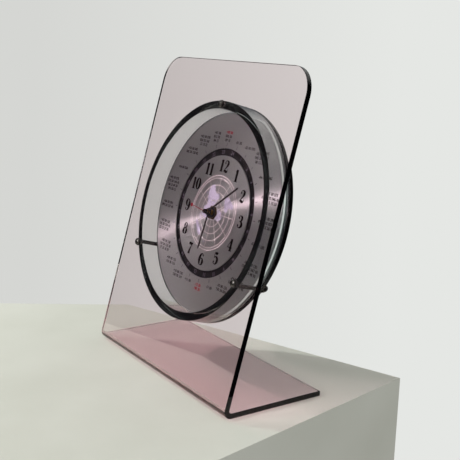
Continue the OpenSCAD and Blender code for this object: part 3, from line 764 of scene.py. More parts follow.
# Rough outlines of the lands, as latitude and longitude in degrees
LANDS = {
    "eurasia": [
        (37, -9), (43, -9), (44, -1), (48, -4), (51, 2), (54, 8), (57, 8), (54, 12), (55, 20),
        (59, 23), (60, 29), (62, 22), (66, 24), (62, 18), (56, 16), (59, 10), (59, 5), (63, 7),
        (69, 15), (71, 26), (69, 34), (66, 41), (65, 34), (64, 38), (68, 45), (69, 60),
        (73, 70), (72, 80), (77, 100), (74, 112), (71, 130), (72, 141), (69, 160), (70, 175),
        (66, 190), (62, 178), (60, 165), (51, 157), (58, 157), (62, 163), (59, 143), (54, 138),
        (50, 140), (43, 132), (40, 128), (35, 129), (38, 125), (40, 121), (36, 121), (31, 122),
        (25, 119), (21, 109), (17, 107), (11, 109), (9, 105), (13, 100), (7, 102), (1, 104),
        (8, 98), (16, 97), (22, 91), (16, 82), (8, 77), (15, 74), (21, 72), (25, 66), (26, 57),
        (30, 49), (24, 52), (24, 57), (19, 58), (13, 45), (20, 40), (29, 35), (36, 36),
        (36, 30), (40, 26), (41, 33), (42, 42), (46, 37), (46, 31), (41, 28), (37, 23),
        (41, 19), (45, 14), (40, 18), (38, 16), (42, 11), (43, 5), (37, -1), (36, -6),
    ],
    "africa": [
        (35, -6), (37, 10), (33, 11), (31, 19), (32, 24), (31, 32), (27, 34), (20, 37),
        (12, 43), (12, 51), (4, 47), (-4, 40), (-15, 41), (-20, 35), (-26, 33), (-34, 26),
        (-34, 18), (-28, 16), (-17, 12), (-8, 13), (1, 9), (4, 9), (6, 3), (4, -8),
        (9, -14), (15, -17), (22, -17), (28, -12), (33, -8),
    ],
    "north america": [
        (8, -78), (13, -88), (16, -95), (20, -105), (26, -109), (31, -114), (23, -110),
        (28, -115), (34, -120), (40, -124), (48, -125), (54, -130), (59, -139), (60, -147),
        (56, -158), (59, -158), (62, -165), (66, -167), (71, -157), (70, -141), (70, -125),
        (68, -110), (68, -97), (69, -84), (63, -90), (58, -94), (55, -83), (51, -79),
        (58, -77), (62, -76), (59, -65), (53, -56), (49, -65), (45, -62), (43, -70),
        (36, -76), (30, -81), (26, -80), (30, -85), (29, -94), (22, -98), (18, -94),
        (21, -87), (16, -88), (12, -84), (9, -81),
    ],
    "south america": [
        (8, -77), (11, -72), (10, -62), (5, -52), (-2, -43), (-7, -35), (-15, -39),
        (-23, -43), (-33, -52), (-39, -59), (-47, -66), (-54, -69), (-45, -75), (-30, -72),
        (-18, -70), (-6, -81), (2, -79),
    ],
    "australia": [
        (-11, 142), (-17, 140), (-12, 132), (-17, 123), (-22, 114), (-34, 115), (-32, 130),
        (-38, 141), (-38, 149), (-27, 153), (-18, 146),
    ],
    "greenland": [
        (60, -43), (66, -53), (76, -68), (82, -60), (83, -35), (80, -17), (70, -22), (65, -38),
    ],
    "baffin": [(63, -66), (67, -62), (73, -79), (73, -88), (67, -73)],
    "ellesmere": [(77, -82), (81, -90), (83, -75), (80, -68)],
    "iceland": [(66, -23), (66, -15), (63, -19)],
    "britain": [(50, -5), (51, 1), (55, -1), (58, -4), (55, -6)],
    "japan": [(31, 131), (35, 137), (41, 142), (45, 143), (40, 139), (35, 132)],
    "borneo": [(7, 117), (0, 118), (-4, 114), (1, 109)],
    "sumatra": [(5, 95), (-1, 104), (-8, 114), (-5, 102)],
    "new guinea": [(-1, 131), (-4, 143), (-10, 150), (-8, 140)],
    "madagascar": [(-12, 49), (-25, 47), (-23, 43), (-16, 45)],
    "new zealand": [(-35, 173), (-39, 178), (-46, 169), (-42, 172)],
}

# Sizes and colours that a user would change


def length(name, description, size):
    """A length with a default in millimetres."""
    return FloatProperty(name=name, description=description, default=size * MM, unit="LENGTH")


def count_of(name, description, number):
    """A whole number."""
    return IntProperty(name=name, description=description, default=number)


def angle(name, description, degrees):
    """An angle with a default in degrees."""
    turn = math.radians(degrees)
    return FloatProperty(name=name, description=description, default=turn, subtype="ANGLE")


def tone(name, description, code):
    """A colour with a default as an sRGB hex value."""
    shade = colour(code)[:3]
    return FloatVectorProperty(name=name, description=description, default=shade, subtype="COLOR")


class ClockStandSizes(bpy.types.PropertyGroup):
    """Sizes of the bent sheet."""

    corner: length("Corner radius", "Radius of the panel's two top corners", 20)
    polish: length("Polished edge", "Width of the small chamfer on the polished edges", 0.3)
    bend_steps: count_of("Bend steps", "How many strips follow the bend", 28)
    corner_steps: count_of("Corner steps", "How many straight lines follow a top corner", 24)


class ClockDrumSizes(bpy.types.PropertyGroup):
    """Sizes of the clear drum and its screws."""

    sides: count_of("Sides", "How many sides each round edge has", 240)
    rim: length("Rim chamfer", "Width of the chamfer on the rims of tube and disc", 0.2)
    air: length("Air gap", "Thin film of air where clear pieces meet", 0.06)
    screws: count_of("Screws", "How many screws clamp the drum", 3)
    screw_fit: length("Screw fit", "Gap between the thread and the hole round it", 0.2)
    pitch: length("Thread pitch", "Distance between the turns of the screws' thread", 0.5)
    thread: length("Thread depth", "Depth of the screws' thread", 0.28)
    slot_w: length("Slot width", "Width of the driver slot", 0.8)
    slot_d: length("Slot depth", "Depth of the driver slot", 1.0)
    head_rim: length("Head rim", "Size of the chamfer under the rim of a screw's head", 0.15)


class ClockDialSizes(bpy.types.PropertyGroup):
    """Sizes of the plates, the prints on them and the hands."""

    plate_rim: length("Plate rim", "Width of the chamfer on the rims of the plates", 0.08)
    ink: length("Ink", "Thickness of the printed ink", 0.03)
    numeral_r: length("Numeral radius", "Distance of the numerals from the centre", 36.8)
    numeral_h: length("Numeral height", "Height of the large numerals", 9.2)
    label_h: length("Label height", "Height of the small numbers on the outer plate", 2.2)
    label_step: length("Label line step", "Distance between the lines of a label", 3.1)
    label_r: length("Label radius", "Distance of a label's nearest end from the centre", 55.0)
    label_turn: angle("Label turn", "Turn of the first label from the top, clockwise", -4.0)
    step_turn: angle("Label step turn", "Turn from one label to the next", 15.0)
    tick_gap: length("Tick gap", "Distance from the plate's inner rim to the ticks", 1.2)
    tick_len: length("Tick length", "Length of the ticks beside the day ring", 2.6)
    tick_w: length("Tick width", "Width of the ticks beside the day ring", 0.35)
    map_r: length("Map radius", "Radius of the map's last circle of latitude", 27.0)
    map_edge: length("Map edge", "Distance from that circle to the line round the map", 2.0)
    line_w: length("Line width", "Width of the map's thin lines", 0.42)
    day_h: length("Day digit height", "Height of the digits on the day ring", 2.9)
    day_turn: angle("Day digit turn", "Turn of the day ring's digits past the hours", 6.0)
    hub: length("Hub", "Distance from the centre beyond which a hand is a blade", 4.0)
    cut: length("Hub cut", "Where the second hand turns from black to red", 1.6)


class ClockStage(bpy.types.PropertyGroup):
    """The stage, its light and the camera."""

    wall: tone("Backdrop", "Colour behind the clock", "#e5e7e4")
    # The backdrop's left colour is painted shade: the plain wall made darker where less light falls
    wall_left: tone("Backdrop, left", "Slightly darker colour behind the clock, left", "#d5d6d3")
    shade: tone("Shade", "Colour that the foot reflects from low on the backdrop", "#70767a")
    room: tone("Room", "Colour reflected from the front, at eye level", "#222326")
    floor: tone("Floor", "Colour reflected from below the front", "#a9aba7")
    ceiling: tone("Ceiling", "Colour reflected from above the front", "#b8bcbb")
    fill: FloatProperty(name="Fill", description="Strength of the even light", default=0.6, min=0.0)
    key: FloatProperty(
        name="Key", description="Power of the lamp on the left", default=6.4, subtype="POWER"
    )
    glint: FloatProperty(
        name="Glint", description="Power of the lamp in front", default=5.8, subtype="POWER"
    )
    lens: FloatProperty(
        name="Lens", description="Focal length of the camera in millimetres", default=68.24
    )


# One operator for each piece or group of like pieces


def screw_places():
    """The places of the clamp screws on the dial, on the middle line of the drum's wall."""
    inner, outer = reach("drum_ring")
    count = bpy.context.scene.clock_drum.screws
    return [polar((inner + outer) / 2, 2 * math.pi * k / count) for k in range(count)]


class CLOCK_OT_stand(bpy.types.Operator):
    """Folds the flat blank of the sheet into foot, bend and panel"""

    bl_idname = "clock.stand"
    bl_label = "Bent sheet"

    def execute(self, context):
        sizes = context.scene.clock_stand
        low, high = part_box("stand")
        half = (high.x - low.x) / 2
        centre_h = CENTRE.z / UP.z
        corner_y = CENTRE.y - UP.y * centre_h
        panel_h = high.z / UP.z
        foot_d = high.y - corner_y
        spread = 1 / math.tan((math.pi / 2 - LEAN) / 2)
        outer_r = (low.y - corner_y) / (spread - 1)
        run = outer_r * spread
        bend_y = corner_y + run
        foot_end = foot_d - run
        panel_start = foot_end + outer_r * (math.pi / 2 + LEAN)
        top = panel_start + panel_h - run

        def fold(x, s, z):
            """A place on the blank, s along it and z into it, as a place in the scene."""
            if s <= foot_end:
                return Vector((x, corner_y + foot_d - s, z))
            if s < panel_start:
                turn = -math.pi / 2 - (s - foot_end) / outer_r
                out = (outer_r - z) * math.cos(turn), (outer_r - z) * math.sin(turn)
                return Vector((x, bend_y + out[0], outer_r + out[1]))
            return Vector((x, corner_y, 0)) + UP * (run + s - panel_start) + INWARD * z

        # Lines across the blank, with one beside each end of the bend to hold its shading
        beside = 0.4 * MM
        steps = sizes.bend_steps
        bend = [foot_end + (panel_start - foot_end) * k / steps for k in range(steps + 1)]
        lines = [foot_end - beside, *bend, panel_start + beside]
        radius = sizes.corner
        right = [(half, s) for s in lines]
        left = [(-half, s) for s in reversed(lines)]
        crown = []
        for k in range(sizes.corner_steps + 1):
            a = math.pi / 2 * k / sizes.corner_steps
            along, up = radius * math.cos(a), radius * math.sin(a)
            crown.append((half - radius + along, top - radius + up))
        crown += [(-x, s) for x, s in reversed(crown)]
        outline = [Vector(p) for p in [(-half, 0), (half, 0)] + right + crown + left]
        first_right, count = 2, len(lines)
        first_left = len(outline) - count
        middle = panel_start + centre_h - run
        bore = reach("back_disc", screw_places()[0])[0]
        loops = [outline] + [hole(bore, middle=(p.x, middle + p.y)) for p in screw_places()]

        shape = bmesh.new()
        stacks = walls(shape, loops, 0, SHEET_T, sizes.polish, fold)
        for level in (0, -1):
            rim = stacks[0][level]
            on_right = rim[first_right : first_right + count]
            on_left = list(reversed(rim[first_left:]))
            shape.faces.new((rim[0], rim[1], on_right[0], on_left[0]))
            for k in range(count - 1):
                shape.faces.new((on_right[k], on_right[k + 1], on_left[k + 1], on_left[k]))
            panel = [on_right[-1]] + rim[first_right + count : first_left] + [on_left[-1]]
            cap(shape, [panel] + [rows[level] for rows in stacks[1:]])
        sheet = finish_mesh("bent_sheet", shape, material("Cast acrylic, rose"))
        keep(sheet, "clock_body", "stand")
        return {"FINISHED"}


class CLOCK_OT_drum(bpy.types.Operator):
    """Builds the clear tube and the clear disc behind it, and finishes the seal between them"""

    bl_idname = "clock.drum"
    bl_label = "Clear drum"

    def execute(self, context):
        sizes = context.scene.clock_drum
        clear = material("Cast acrylic, clear")
        inner, outer = reach("drum_ring")
        holes = [hole(reach("back_disc", p)[0], middle=p) for p in screw_places()]
        near, far = span("drum_ring")
        loops = [circle(outer, sizes.sides), hole(inner, sizes.sides)] + holes
        tube = plate("drum_tube", loops, near + sizes.air, far - sizes.air, sizes.rim, clear)
        keep(tube, "clock_body", "drum_ring")

        low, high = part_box("setting_knob")
        knob_place = (0, ((low + high) / 2 - CENTRE).dot(UP))
        setting = hole(reach("back_disc", knob_place)[0], middle=knob_place)
        near, far = span("back_disc")
        loops = [circle(outer, sizes.sides), hole(reach("back_disc")[0]), setting] + holes
        disc = plate("drum_back", loops, near + sizes.air, far, sizes.rim, clear)
        keep(disc, "clock_body", "back_disc")
        dress("Rubber, matt black", "drum_seal")
        return {"FINISHED"}


def head_radius(place, limit):
    """The radius of the screw head at a place, from the points of the node within a limit."""
    places = [vertex.co - CENTRE for vertex in NODES["clamp_screws"].data.vertices]
    spans = [(Vector((p.dot(ACROSS), p.dot(UP))) - place).length for p in places]
    return max(radius for radius in spans if radius < limit)


def domed_head(place, near, far, head_r, shank_r, rim):
    """A low domed screw head, closed where its shank begins."""
    sides, steps, dome_share = 40, 9, 0.55
    profile = []
    for k in range(1, steps + 1):
        a = math.pi / 2 * k / steps
        rise = (far - near) * dome_share * (1 - math.cos(a))
        profile.append((head_r * math.sin(a), near + rise))
    profile += [(head_r, far - rim), (head_r - rim, far), (shank_r, far)]
    shape = bmesh.new()
    rows = [[shape.verts.new(dial(place.x, place.y, near))]]
    for radius, depth in profile:
        ring = circle(radius, sides, place)
        rows.append([shape.verts.new(dial(p.x, p.y, depth)) for p in ring])
    skin(shape, rows)
    shape.faces.new(rows[-1])
    return shape


def threaded_rod(middle, near, far, radius, depth, pitch, sides=20, per_turn=5):
    """A rod whose surface winds round it as a thread."""
    shape = bmesh.new()
    count = int((far - near) / pitch * per_turn)
    rows = []
    for j in range(count + 1):
        d = near + (far - near) * j / count
        row = []
        for k in range(sides):
            share = (d / pitch - k / sides) % 1.0
            r = radius - depth * abs(2 * share - 1)
            a = 2 * math.pi * k / sides
            x, y = middle[0] + r * math.cos(a), middle[1] + r * math.sin(a)
            row.append(shape.verts.new(dial(x, y, d)))
        rows.append(row)
    skin(shape, rows)
    shape.faces.new(rows[0])
    shape.faces.new(list(reversed(rows[-1])))
    return shape


class CLOCK_OT_clamp_screws(bpy.types.Operator):
    """Builds the threaded screws and rounds the washers and cap nuts"""

    bl_idname = "clock.clamp_screws"
    bl_label = "Clamp screws"

    def execute(self, context):
        sizes = context.scene.clock_drum
        steel = material("Steel, oiled")
        place = screw_places()[0]
        near, far = span("clamp_screws")
        washer_near = span("front_washers")[0]
        shank_r = reach("back_disc", place)[0] - sizes.screw_fit
        head_r = head_radius(place, 2 * (shank_r + MM))
        root_r = shank_r - sizes.thread
        shape = domed_head(place, near, washer_near, head_r, root_r, sizes.head_rim)
        head = finish_mesh("screw_head", shape, steel, 30.0)
        cutter_shape = bmesh.new()
        bmesh.ops.create_cube(cutter_shape, size=1.0)
        middle = dial(place.x, place.y, near)
        matrix = Matrix.Translation(middle) @ DIAL_MATRIX.to_3x3().to_4x4()
        size = Matrix.Diagonal((2.4 * head_r, sizes.slot_w, 2 * sizes.slot_d, 1))
        bmesh.ops.transform(cutter_shape, matrix=matrix @ size, verts=cutter_shape.verts)
        cutter = finish_mesh("slot_cutter", cutter_shape, steel)
        slot_cut = head.modifiers.new("Slot", "BOOLEAN")
        slot_cut.object = cutter
        slot_cut.solver = "EXACT"
        head = applied(head, "screw_head", steel)
        bpy.data.objects.remove(cutter)

        shape = threaded_rod(place, washer_near, far, shank_r, sizes.thread, sizes.pitch)
        shank = finish_mesh("screw_shank", shape, steel, 60.0)
        screw = joined("clamp_screw", [head, shank], steel)
        screw.data.transform(DIAL_MATRIX.inverted())
        screws = turned_copies("clamp_screw_set", screw, sizes.screws, steel)
        smooth(screws.data, 35.0)
        keep(screws, "clock_body", "clamp_screws")

        for node, name, finish, rounding, smooth_under in (
            ("cap_nuts", "cap_nut_set", steel, 0.12, 30.0),
            ("rear_washers", "rear_washer_set", steel, 0.06, 35.0),
            ("front_washers", "front_washer_set", material("Nylon, black"), 0.08, 35.0),
        ):
            piece = solid_of(node, finish, rounding * MM, name, smooth_under)
            keep(piece, "clock_body", node)
        return {"FINISHED"}


class CLOCK_OT_dial_plates(bpy.types.Operator):
    """Builds the two brushed dial plates, and finishes the day ring and what holds them"""

    bl_idname = "clock.dial_plates"
    bl_label = "Dial plates"

    def execute(self, context):
        sides = context.scene.clock_drum.sides
        rim = context.scene.clock_dial.plate_rim
        brushed_plate = material("Aluminium, brushed in circles")
        for node, name in (("outer_dial", "outer_plate"), ("centre_dial", "centre_plate")):
            inner, outer = reach(node)
            loops = [circle(outer, sides), hole(inner, sides)]
            keep(plate(name, loops, *span(node), rim, brushed_plate), "clock_body", node)
        dress("Enamel, satin black", "day_ring")
        dress("Brass, stamped", "day_wheel", "ring_sleeve")
        dress("Steel, bright", "day_pinion", "dial_feet")
        return {"FINISHED"}


def label_texts(k):
    """The four lines that a label can have: plain offsets in hours, and plain numbers."""
    west = k if k <= 12 else k - 24
    return [
        "%+03d 00 %03d" % (-west, abs(15 * west)),
        "%03d 30 %03d 45" % (abs(15 * west), (7 * k + 11) % 360),
        "%02d 15 %02d 30" % ((5 * k + 9) % 24, (11 * k + 20) % 60),
        "%03d 00 %02d" % ((19 * k + 40) % 180, (13 * k + 5) % 60),
    ]


class CLOCK_OT_outer_labels(bpy.types.Operator):
    """Prints plain time offsets and longitudes, and ticks, on the outer plate"""

    bl_idname = "clock.outer_labels"
    bl_label = "Outer labels"

    def execute(self, context):
        sizes = context.scene.clock_dial
        ink = sizes.ink
        black, red = [], []
        for k, count in enumerate(LABEL_LINES):
            turn = sizes.step_turn * k + sizes.label_turn
            aside = abs(math.sin(turn))
            groups = 2 + sum(aside > share for share in LONGER_FROM)
            texts = [" ".join(text.split()[:groups]) for text in label_texts(k)[:count]]
            half_wide = LETTER_SHARE * sizes.label_h * max(map(len, texts)) / 2
            block = sizes.label_step * (count - 1)
            half_high = (block + sizes.label_h) / 2
            reach_out = aside * half_wide + abs(math.cos(turn)) * half_high
            point = polar(sizes.label_r + reach_out, turn)
            for row, text in enumerate(texts):
                y = point.y + block / 2 - row * sizes.label_step
                line = (text, (point.x, y), sizes.label_h, 0.0, PLATE_D)
                (red if row < RED_LINES.get(k, 0) else black).append(line)
        for name, lines, finish in (
            ("outer_labels", black, "Ink, black"),
            ("outer_labels_red", red, "Ink, red"),
        ):
            text = lettering(name, lines, material(finish), ink)
            keep(text, "clock_body", "outer_dial", replaces=False)

        start = reach("outer_dial")[0] + sizes.tick_gap
        path = [(0, start, sizes.tick_w), (0, start + sizes.tick_len, sizes.tick_w)]
        heights = -PLATE_D + ink, -PLATE_D - ink * SUNK
        count, black_ink = len(LABEL_LINES), material("Ink, black")
        ticks = rays("outer_ticks", path, *heights, count, black_ink, -sizes.label_turn)
        keep(ticks, "clock_body", "outer_dial", replaces=False)
        return {"FINISHED"}


class CLOCK_OT_numerals(bpy.types.Operator):
    """Prints the large serif numerals on the centre plate"""

    bl_idname = "clock.numerals"
    bl_label = "Numerals"

    def execute(self, context):
        sizes = context.scene.clock_dial
        near = span("centre_dial")[0]
        depths_of_ink = near - sizes.ink, near + sizes.ink * SUNK
        shape = bmesh.new()
        for hour in range(1, 13):
            place = polar(sizes.numeral_r, math.radians(30 * hour))
            serif_number(shape, str(hour), place, sizes.numeral_h, *depths_of_ink)
        made = finish_mesh("centre_numerals", shape, material("Ink, black"))
        keep(made, "clock_body", "centre_dial", replaces=False)
        return {"FINISHED"}


class CLOCK_OT_polar_map(bpy.types.Operator):
    """Prints the polar map: lands, circles of latitude and meridians"""

    bl_idname = "clock.polar_map"
    bl_label = "Polar map"

    def execute(self, context):
        sizes = context.scene.clock_dial
        near = span("centre_dial")[0]
        ink = sizes.ink
        white = material("Ink, white")
        southmost, meridians = -60, 12
        scale = sizes.map_r / (90 - southmost)
        # How far the lines stand out of the plate, as shares of the ink's thickness
        circle_share, meridian_share = 0.6, 0.5
        edge_line_share = 1.3

        shape = bmesh.new()
        for outline in LANDS.values():
            loop = [polar((90 - north) * scale, math.radians(-east)) for north, east in outline]
            prism(shape, loop, near - ink, near + ink * SUNK)
        lands = finish_mesh("map_lands", shape, material("Ink, pale lilac"))
        keep(lands, "clock_body", "centre_dial", replaces=False)

        shape = bmesh.new()
        paths = [
            ring_path((90 - latitude) * scale, sizes.line_w)
            for latitude in (60, 30, 0, -30, southmost)
        ]
        paths.append(ring_path(sizes.map_r + sizes.map_edge, sizes.line_w * edge_line_share))
        for path in paths:
            ribbon(shape, path, near - ink * circle_share, near + ink * SUNK, closed=True)
        rings = finish_mesh("map_circles", shape, white)
        keep(rings, "clock_body", "centre_dial", replaces=False)

        path = [(0, reach("dial_nut")[1], sizes.line_w), (0, sizes.map_r, sizes.line_w)]
        heights = -near + ink * meridian_share, -near - ink * SUNK
        lines = rays("map_meridians", path, *heights, meridians, white)
        keep(lines, "clock_body", "centre_dial", replaces=False)
        return {"FINISHED"}


class CLOCK_OT_day_digits(bpy.types.Operator):
    """Prints the day ring's digits, which turn with it"""

    bl_idname = "clock.day_digits"
    bl_label = "Day ring digits"

    def execute(self, context):
        sizes = context.scene.clock_dial
        middle = (reach("centre_dial")[1] + reach("outer_dial")[0]) / 2
        lines = []
        for hour in range(1, 25):
            turn = math.radians(15 * hour) + sizes.day_turn
            lines.append((str(hour), polar(middle, turn), sizes.day_h, turn, RING_D))
        digits = lettering("day_digits", lines, material("Ink, pale grey"), sizes.ink)
        keep(digits, "day", "day_ring", replaces=False)
        return {"FINISHED"}


def cut_at_hub(piece, distance, keep_rear):
    """Keeps the part of a hand on one side of a plane just in front of its hub."""
    axis = CENTRE + INWARD * span("second_hand")[0]
    tip = max((vertex.co for vertex in piece.data.vertices), key=lambda p: (p - axis).length)
    along = (tip - axis).normalized()
    shape = bmesh.new()
    shape.from_mesh(piece.data)
    cut = bmesh.ops.bisect_plane(
        shape,
        geom=shape.verts[:] + shape.edges[:] + shape.faces[:],
        plane_co=axis + along * distance,
        plane_no=along,
        clear_outer=keep_rear,
        clear_inner=not keep_rear,
    )
    rim = [part for part in cut["geom_cut"] if isinstance(part, bmesh.types.BMEdge)]
    bmesh.ops.holes_fill(shape, edges=rim)
    bmesh.ops.recalc_face_normals(shape, faces=shape.faces)
    shape.to_mesh(piece.data)
    shape.free()


def widen(piece, hub, share):
    """Widens the blade of a hand beyond its hub, so that it reads as broad as the real one."""
    places = [vertex.co - CENTRE for vertex in piece.data.vertices]
    tip = max(places, key=lambda place: (place - OUT * place.dot(OUT)).length)
    turn = math.atan2(tip.dot(ACROSS), tip.dot(UP))
    along = ACROSS * math.sin(turn) + UP * math.cos(turn)
    side = ACROSS * math.cos(turn) - UP * math.sin(turn)
    for vertex, place in zip(piece.data.vertices, places):
        if place.dot(along) > hub:
            vertex.co += side * place.dot(side) * (share - 1)


class CLOCK_OT_hands(bpy.types.Operator):
    """Rounds the hands and the nut round their hubs"""

    bl_idname = "clock.hands"
    bl_label = "Hands"

    def execute(self, context):
        sizes = context.scene.clock_dial
        black, red = material("Lacquer, black"), material("Lacquer, red")
        blade_share = 1.4
        for node, body in (("hour_hand", "hour"), ("minute_hand", "minute")):
            hand = solid_of(node, black, 0.05 * MM, node + "_blade")
            widen(hand, sizes.hub, blade_share)
            keep(hand, body, node)
        # The second hand is red in front of its hub and black behind it
        for name, finish, rear in (
            ("second_hand_blade", red, False),
            ("second_hand_tail", black, True),
        ):
            hand = solid_of("second_hand", finish, 0.03 * MM, name)
            cut_at_hub(hand, sizes.cut, rear)
            keep(hand, "seconds", "second_hand", replaces=not rear)
        nut = solid_of("dial_nut", material("Brass, aged"), 0.2 * MM, "dial_nut_body")
        keep(nut, "clock_body", "dial_nut")
        # A dark cap hides the hub of the second hand, from just in front of it to behind it
        cap_r, in_front, behind, rim = 1.8 * MM, 0.3 * MM, 2.3 * MM, 0.25 * MM
        near = span("second_hand")[0]
        ends = near - in_front, near + behind
        oxide = material("Steel, black oxide")
        hub_cap = plate("second_hand_cap", [circle(cap_r, 48)], *ends, rim, oxide, 35.0)
        keep(hub_cap, "seconds", "second_hand", replaces=False)
        return {"FINISHED"}


class CLOCK_OT_movement(bpy.types.Operator):
    """Rounds and finishes the housing on the back and what shows in it"""

    bl_idname = "clock.movement"
    bl_label = "Movement housing"

    def execute(self, context):
        housing = "ABS, black, spark texture"
        for node, body, finish, rounding in (
            ("movement_case", "clock_body", housing, 0.3),
            ("movement_cover", "clock_body", housing, 0.3),
            ("setting_knob", "setting", housing, 0.15),
            ("battery", "clock_body", "Battery jacket", 0.25),
        ):
            piece = solid_of(node, material(finish), rounding * MM, node + "_body")
            keep(piece, body, node)
        dress("Rubber, matt black", "rubber_washer")
        dress("Nickel plate", "positive_contact", "negative_contact")
        return {"FINISHED"}


class CLOCK_OT_inner_works(bpy.types.Operator):
    """Finishes the train, the motor and the electronics inside the housing"""

    bl_idname = "clock.inner_works"
    bl_label = "Inner works"

    def execute(self, context):
        dress("Acetal, white", "setting_wheel", "third_wheel", "seconds_wheel", "step_wheel")
        dress("Steel, bright", "bridge_screws")
        dress("Brass, stamped", "hour_wheel", "minute_pipe", "centre_wheel")
        dress("Ferrite", "rotor")
        dress("Iron laminations", "stator", "coil_core")
        dress("Copper wire", "coil_winding")
        dress("Moulding, pale", "train_bridge")
        dress("Laminate, green", "circuit_board")
        dress("Resin, black", "chip")
        dress("Nickel plate", "crystal")
        return {"FINISHED"}


def facing(tree, where, direction, low, high):
    """How far a view looks in a direction, from 0 at a low cosine to 1 at a high one."""
    inputs = {0: where, 1: direction}
    towards = add(tree, "ShaderNodeVectorMath", inputs, operation="DOT_PRODUCT")
    spread = {"Value": towards.outputs["Value"], "From Min": low, "From Max": high}
    return add(tree, "ShaderNodeMapRange", spread)


def soft_room(stage):
    """The world: an even light, a room that only mirrors show, and the wall that is seen."""
    tones = (stage.wall, stage.wall_left, stage.shade, stage.room, stage.floor, stage.ceiling)
    wall, wall_left, shade, room, floor, ceiling = ((*tone_of, 1) for tone_of in tones)
    world = bpy.data.worlds.new("Soft room")
    world.use_nodes = True
    tree = world.node_tree
    tree.nodes.clear()
    where = add(tree, "ShaderNodeTexCoord").outputs["Generated"]
    ray = add(tree, "ShaderNodeLightPath").outputs

    # What mirrors show: floor, room and ceiling in front, and the wall behind
    height = facing(tree, where, (0, 0, 1), -1.0, 1.0)
    stops = [(0.32, floor), (0.47, room), (0.60, room), (0.72, ceiling)]
    front = add(tree, "ShaderNodeValToRGB", {"Fac": height}, stops)
    low_wall = add(tree, "ShaderNodeValToRGB", {"Fac": height}, [(0.58, shade), (0.75, wall)])
    rear = facing(tree, where, (-0.35, 0.94, 0.0), 0.2, 0.6)
    inputs = {"Factor": rear, 6: front, 7: low_wall}
    sides = add(tree, "ShaderNodeMix", inputs, data_type="RGBA")
    # The dark end of the room at the right keeps the sheet's edges dark
    dark_end = facing(tree, where, (0.85, 0.53, 0.0), 0.55, 0.8)
    inputs = {"Factor": dark_end, 6: sides.outputs[2], 7: room}
    mixed = add(tree, "ShaderNodeMix", inputs, data_type="RGBA")
    mirrored = add(tree, "ShaderNodeBackground", {"Color": mixed.outputs[2]})

    # What the camera sees, straight or through clear pieces: the wall, with painted shade that
    # darkens its left
    along = facing(tree, where, (0.562, 0.827, 0.0), -0.22, 0.18)
    sweep = add(tree, "ShaderNodeValToRGB", {"Fac": along}, [(0.0, wall_left), (1.0, wall)])
    backdrop = add(tree, "ShaderNodeBackground", {"Color": sweep})
    inputs = {0: ray["Is Camera Ray"], 1: ray["Is Transmission Ray"]}
    through = add(tree, "ShaderNodeMath", inputs, operation="MAXIMUM")
    bounced = add(tree, "ShaderNodeMath", {0: ray["Glossy Depth"], 1: ray["Diffuse Depth"]})
    inputs = {0: through, 1: bounced}
    straight = add(tree, "ShaderNodeMath", inputs, operation="SUBTRACT", use_clamp=True)

    inputs = {0: ray["Is Glossy Ray"], 1: ray["Glossy Depth"]}
    by_mirror = add(tree, "ShaderNodeMath", inputs, use_clamp=True)
    fill = add(tree, "ShaderNodeBackground", {"Color": (1, 1, 1, 1), "Strength": stage.fill})
    lit = add(tree, "ShaderNodeMixShader", {0: by_mirror, 1: fill, 2: mirrored})
    final = add(tree, "ShaderNodeMixShader", {0: straight, 1: lit, 2: backdrop})
    add(tree, "ShaderNodeOutputWorld", {"Surface": final})
    return world


# The plinth's corners, from the front left, anticlockwise, and its depth, in metres
PLINTH_CORNERS = ((-0.42, -0.40), (0.21, -0.43), (0.100, 0.118), (-0.1655, 0.022))
PLINTH_DEPTH = 0.12
# A film of air under the foot keeps the light inside the sheet
FOOT_FILM = 0.1 * MM

LAMP_SIZE = 0.02
LAMP_DISTANCE = 1.2
# Where the lamps stand from the dial. The key lamp throws the shadows and isn't mirrored, and
# the glint lamp draws the streak on the brushed plates
KEY_AIM = ACROSS * -0.6 + UP * 0.62 + OUT * 0.5
GLINT_AIM = ACROSS * -0.3 + UP * 0.162 + OUT * 0.94

# The camera's place in metres, and its turns in degrees
CAMERA_PLACE = Vector((0.54805, -0.34975, 0.25635))
CAMERA_YAW, CAMERA_PITCH, CAMERA_ROLL = 55.78, -12.71, 1.62


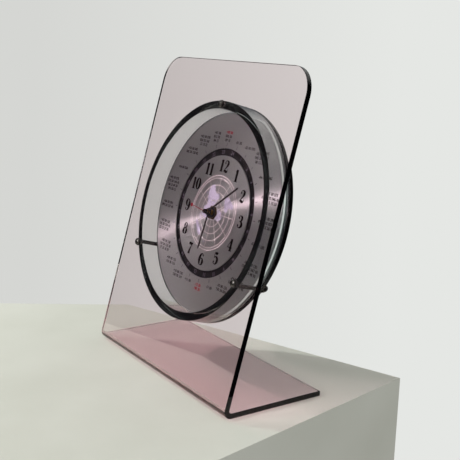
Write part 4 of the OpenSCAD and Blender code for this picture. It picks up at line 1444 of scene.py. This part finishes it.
class CLOCK_OT_stage(bpy.types.Operator):
    """Sets the pale plinth, the light and the camera"""

    bl_idname = "clock.stage"
    bl_label = "Stage and camera"

    def execute(self, context):
        scene = context.scene
        stage = scene.clock_stage
        shape = bmesh.new()
        top, base = (
            [shape.verts.new((x, y, z)) for x, y in PLINTH_CORNERS]
            for z in (-FOOT_FILM, -PLINTH_DEPTH)
        )
        shape.faces.new(top)
        shape.faces.new(list(reversed(base)))
        skin(shape, [base, top])
        finish_mesh("plinth", shape, material("Plaster, pale"))
        scene.world = soft_room(stage)

        for name, energy, aim in (
            ("Key", stage.key, KEY_AIM),
            ("Glint", stage.glint, GLINT_AIM),
        ):
            lamp = bpy.data.lights.new(name, "AREA")
            lamp.shape = "DISK"
            lamp.size = LAMP_SIZE
            lamp.energy = energy
            made = bpy.data.objects.new(name, lamp)
            made.location = CENTRE + aim.normalized() * LAMP_DISTANCE
            made.rotation_euler = (-aim).to_track_quat("-Z", "Y").to_euler()
            made.visible_glossy = name == "Glint"
            scene.collection.objects.link(made)

        yaw, pitch, roll = map(math.radians, (CAMERA_YAW, CAMERA_PITCH, CAMERA_ROLL))
        lens = bpy.data.cameras.new("Camera")
        lens.lens = stage.lens
        lens.sensor_width = 36.0
        lens.clip_start = 0.01
        camera = bpy.data.objects.new("Camera", lens)
        camera.matrix_world = (
            Matrix.Translation(CAMERA_PLACE)
            @ Matrix.Rotation(yaw, 4, "Z")
            @ Matrix.Rotation(math.pi / 2 + pitch, 4, "X")
            @ Matrix.Rotation(roll, 4, "Z")
        )
        scene.collection.objects.link(camera)
        scene.camera = camera
        scene.view_settings.view_transform = "Standard"
        return {"FINISHED"}


STEPS = (
    CLOCK_OT_stand,
    CLOCK_OT_drum,
    CLOCK_OT_clamp_screws,
    CLOCK_OT_dial_plates,
    CLOCK_OT_outer_labels,
    CLOCK_OT_numerals,
    CLOCK_OT_polar_map,
    CLOCK_OT_day_digits,
    CLOCK_OT_hands,
    CLOCK_OT_movement,
    CLOCK_OT_inner_works,
    CLOCK_OT_stage,
)


class CLOCK_PT_panel(bpy.types.Panel):
    """Lists the steps that build the clock"""

    bl_label = "World clock"
    bl_space_type = "VIEW_3D"
    bl_region_type = "UI"
    bl_category = "World clock"

    def draw(self, context):
        for step in STEPS:
            self.layout.operator(step.bl_idname)


SETTINGS = {
    "clock_stand": ClockStandSizes,
    "clock_drum": ClockDrumSizes,
    "clock_dial": ClockDialSizes,
    "clock_stage": ClockStage,
}


def register():
    """Registers the settings, the operators and the panel."""
    for name, group in SETTINGS.items():
        bpy.utils.register_class(group)
        setattr(bpy.types.Scene, name, PointerProperty(type=group))
    for step in STEPS:
        bpy.utils.register_class(step)
    bpy.utils.register_class(CLOCK_PT_panel)


def unregister():
    """Takes back what register added."""
    bpy.utils.unregister_class(CLOCK_PT_panel)
    for step in reversed(STEPS):
        bpy.utils.unregister_class(step)
    for name, group in SETTINGS.items():
        delattr(bpy.types.Scene, name)
        bpy.utils.unregister_class(group)


def main():
    """Builds every piece in order."""
    register()
    for step in STEPS:
        group, action = step.bl_idname.split(".")
        getattr(getattr(bpy.ops, group), action)()
    bpy.context.view_layer.update()


if __name__ == "__main__":
    main()
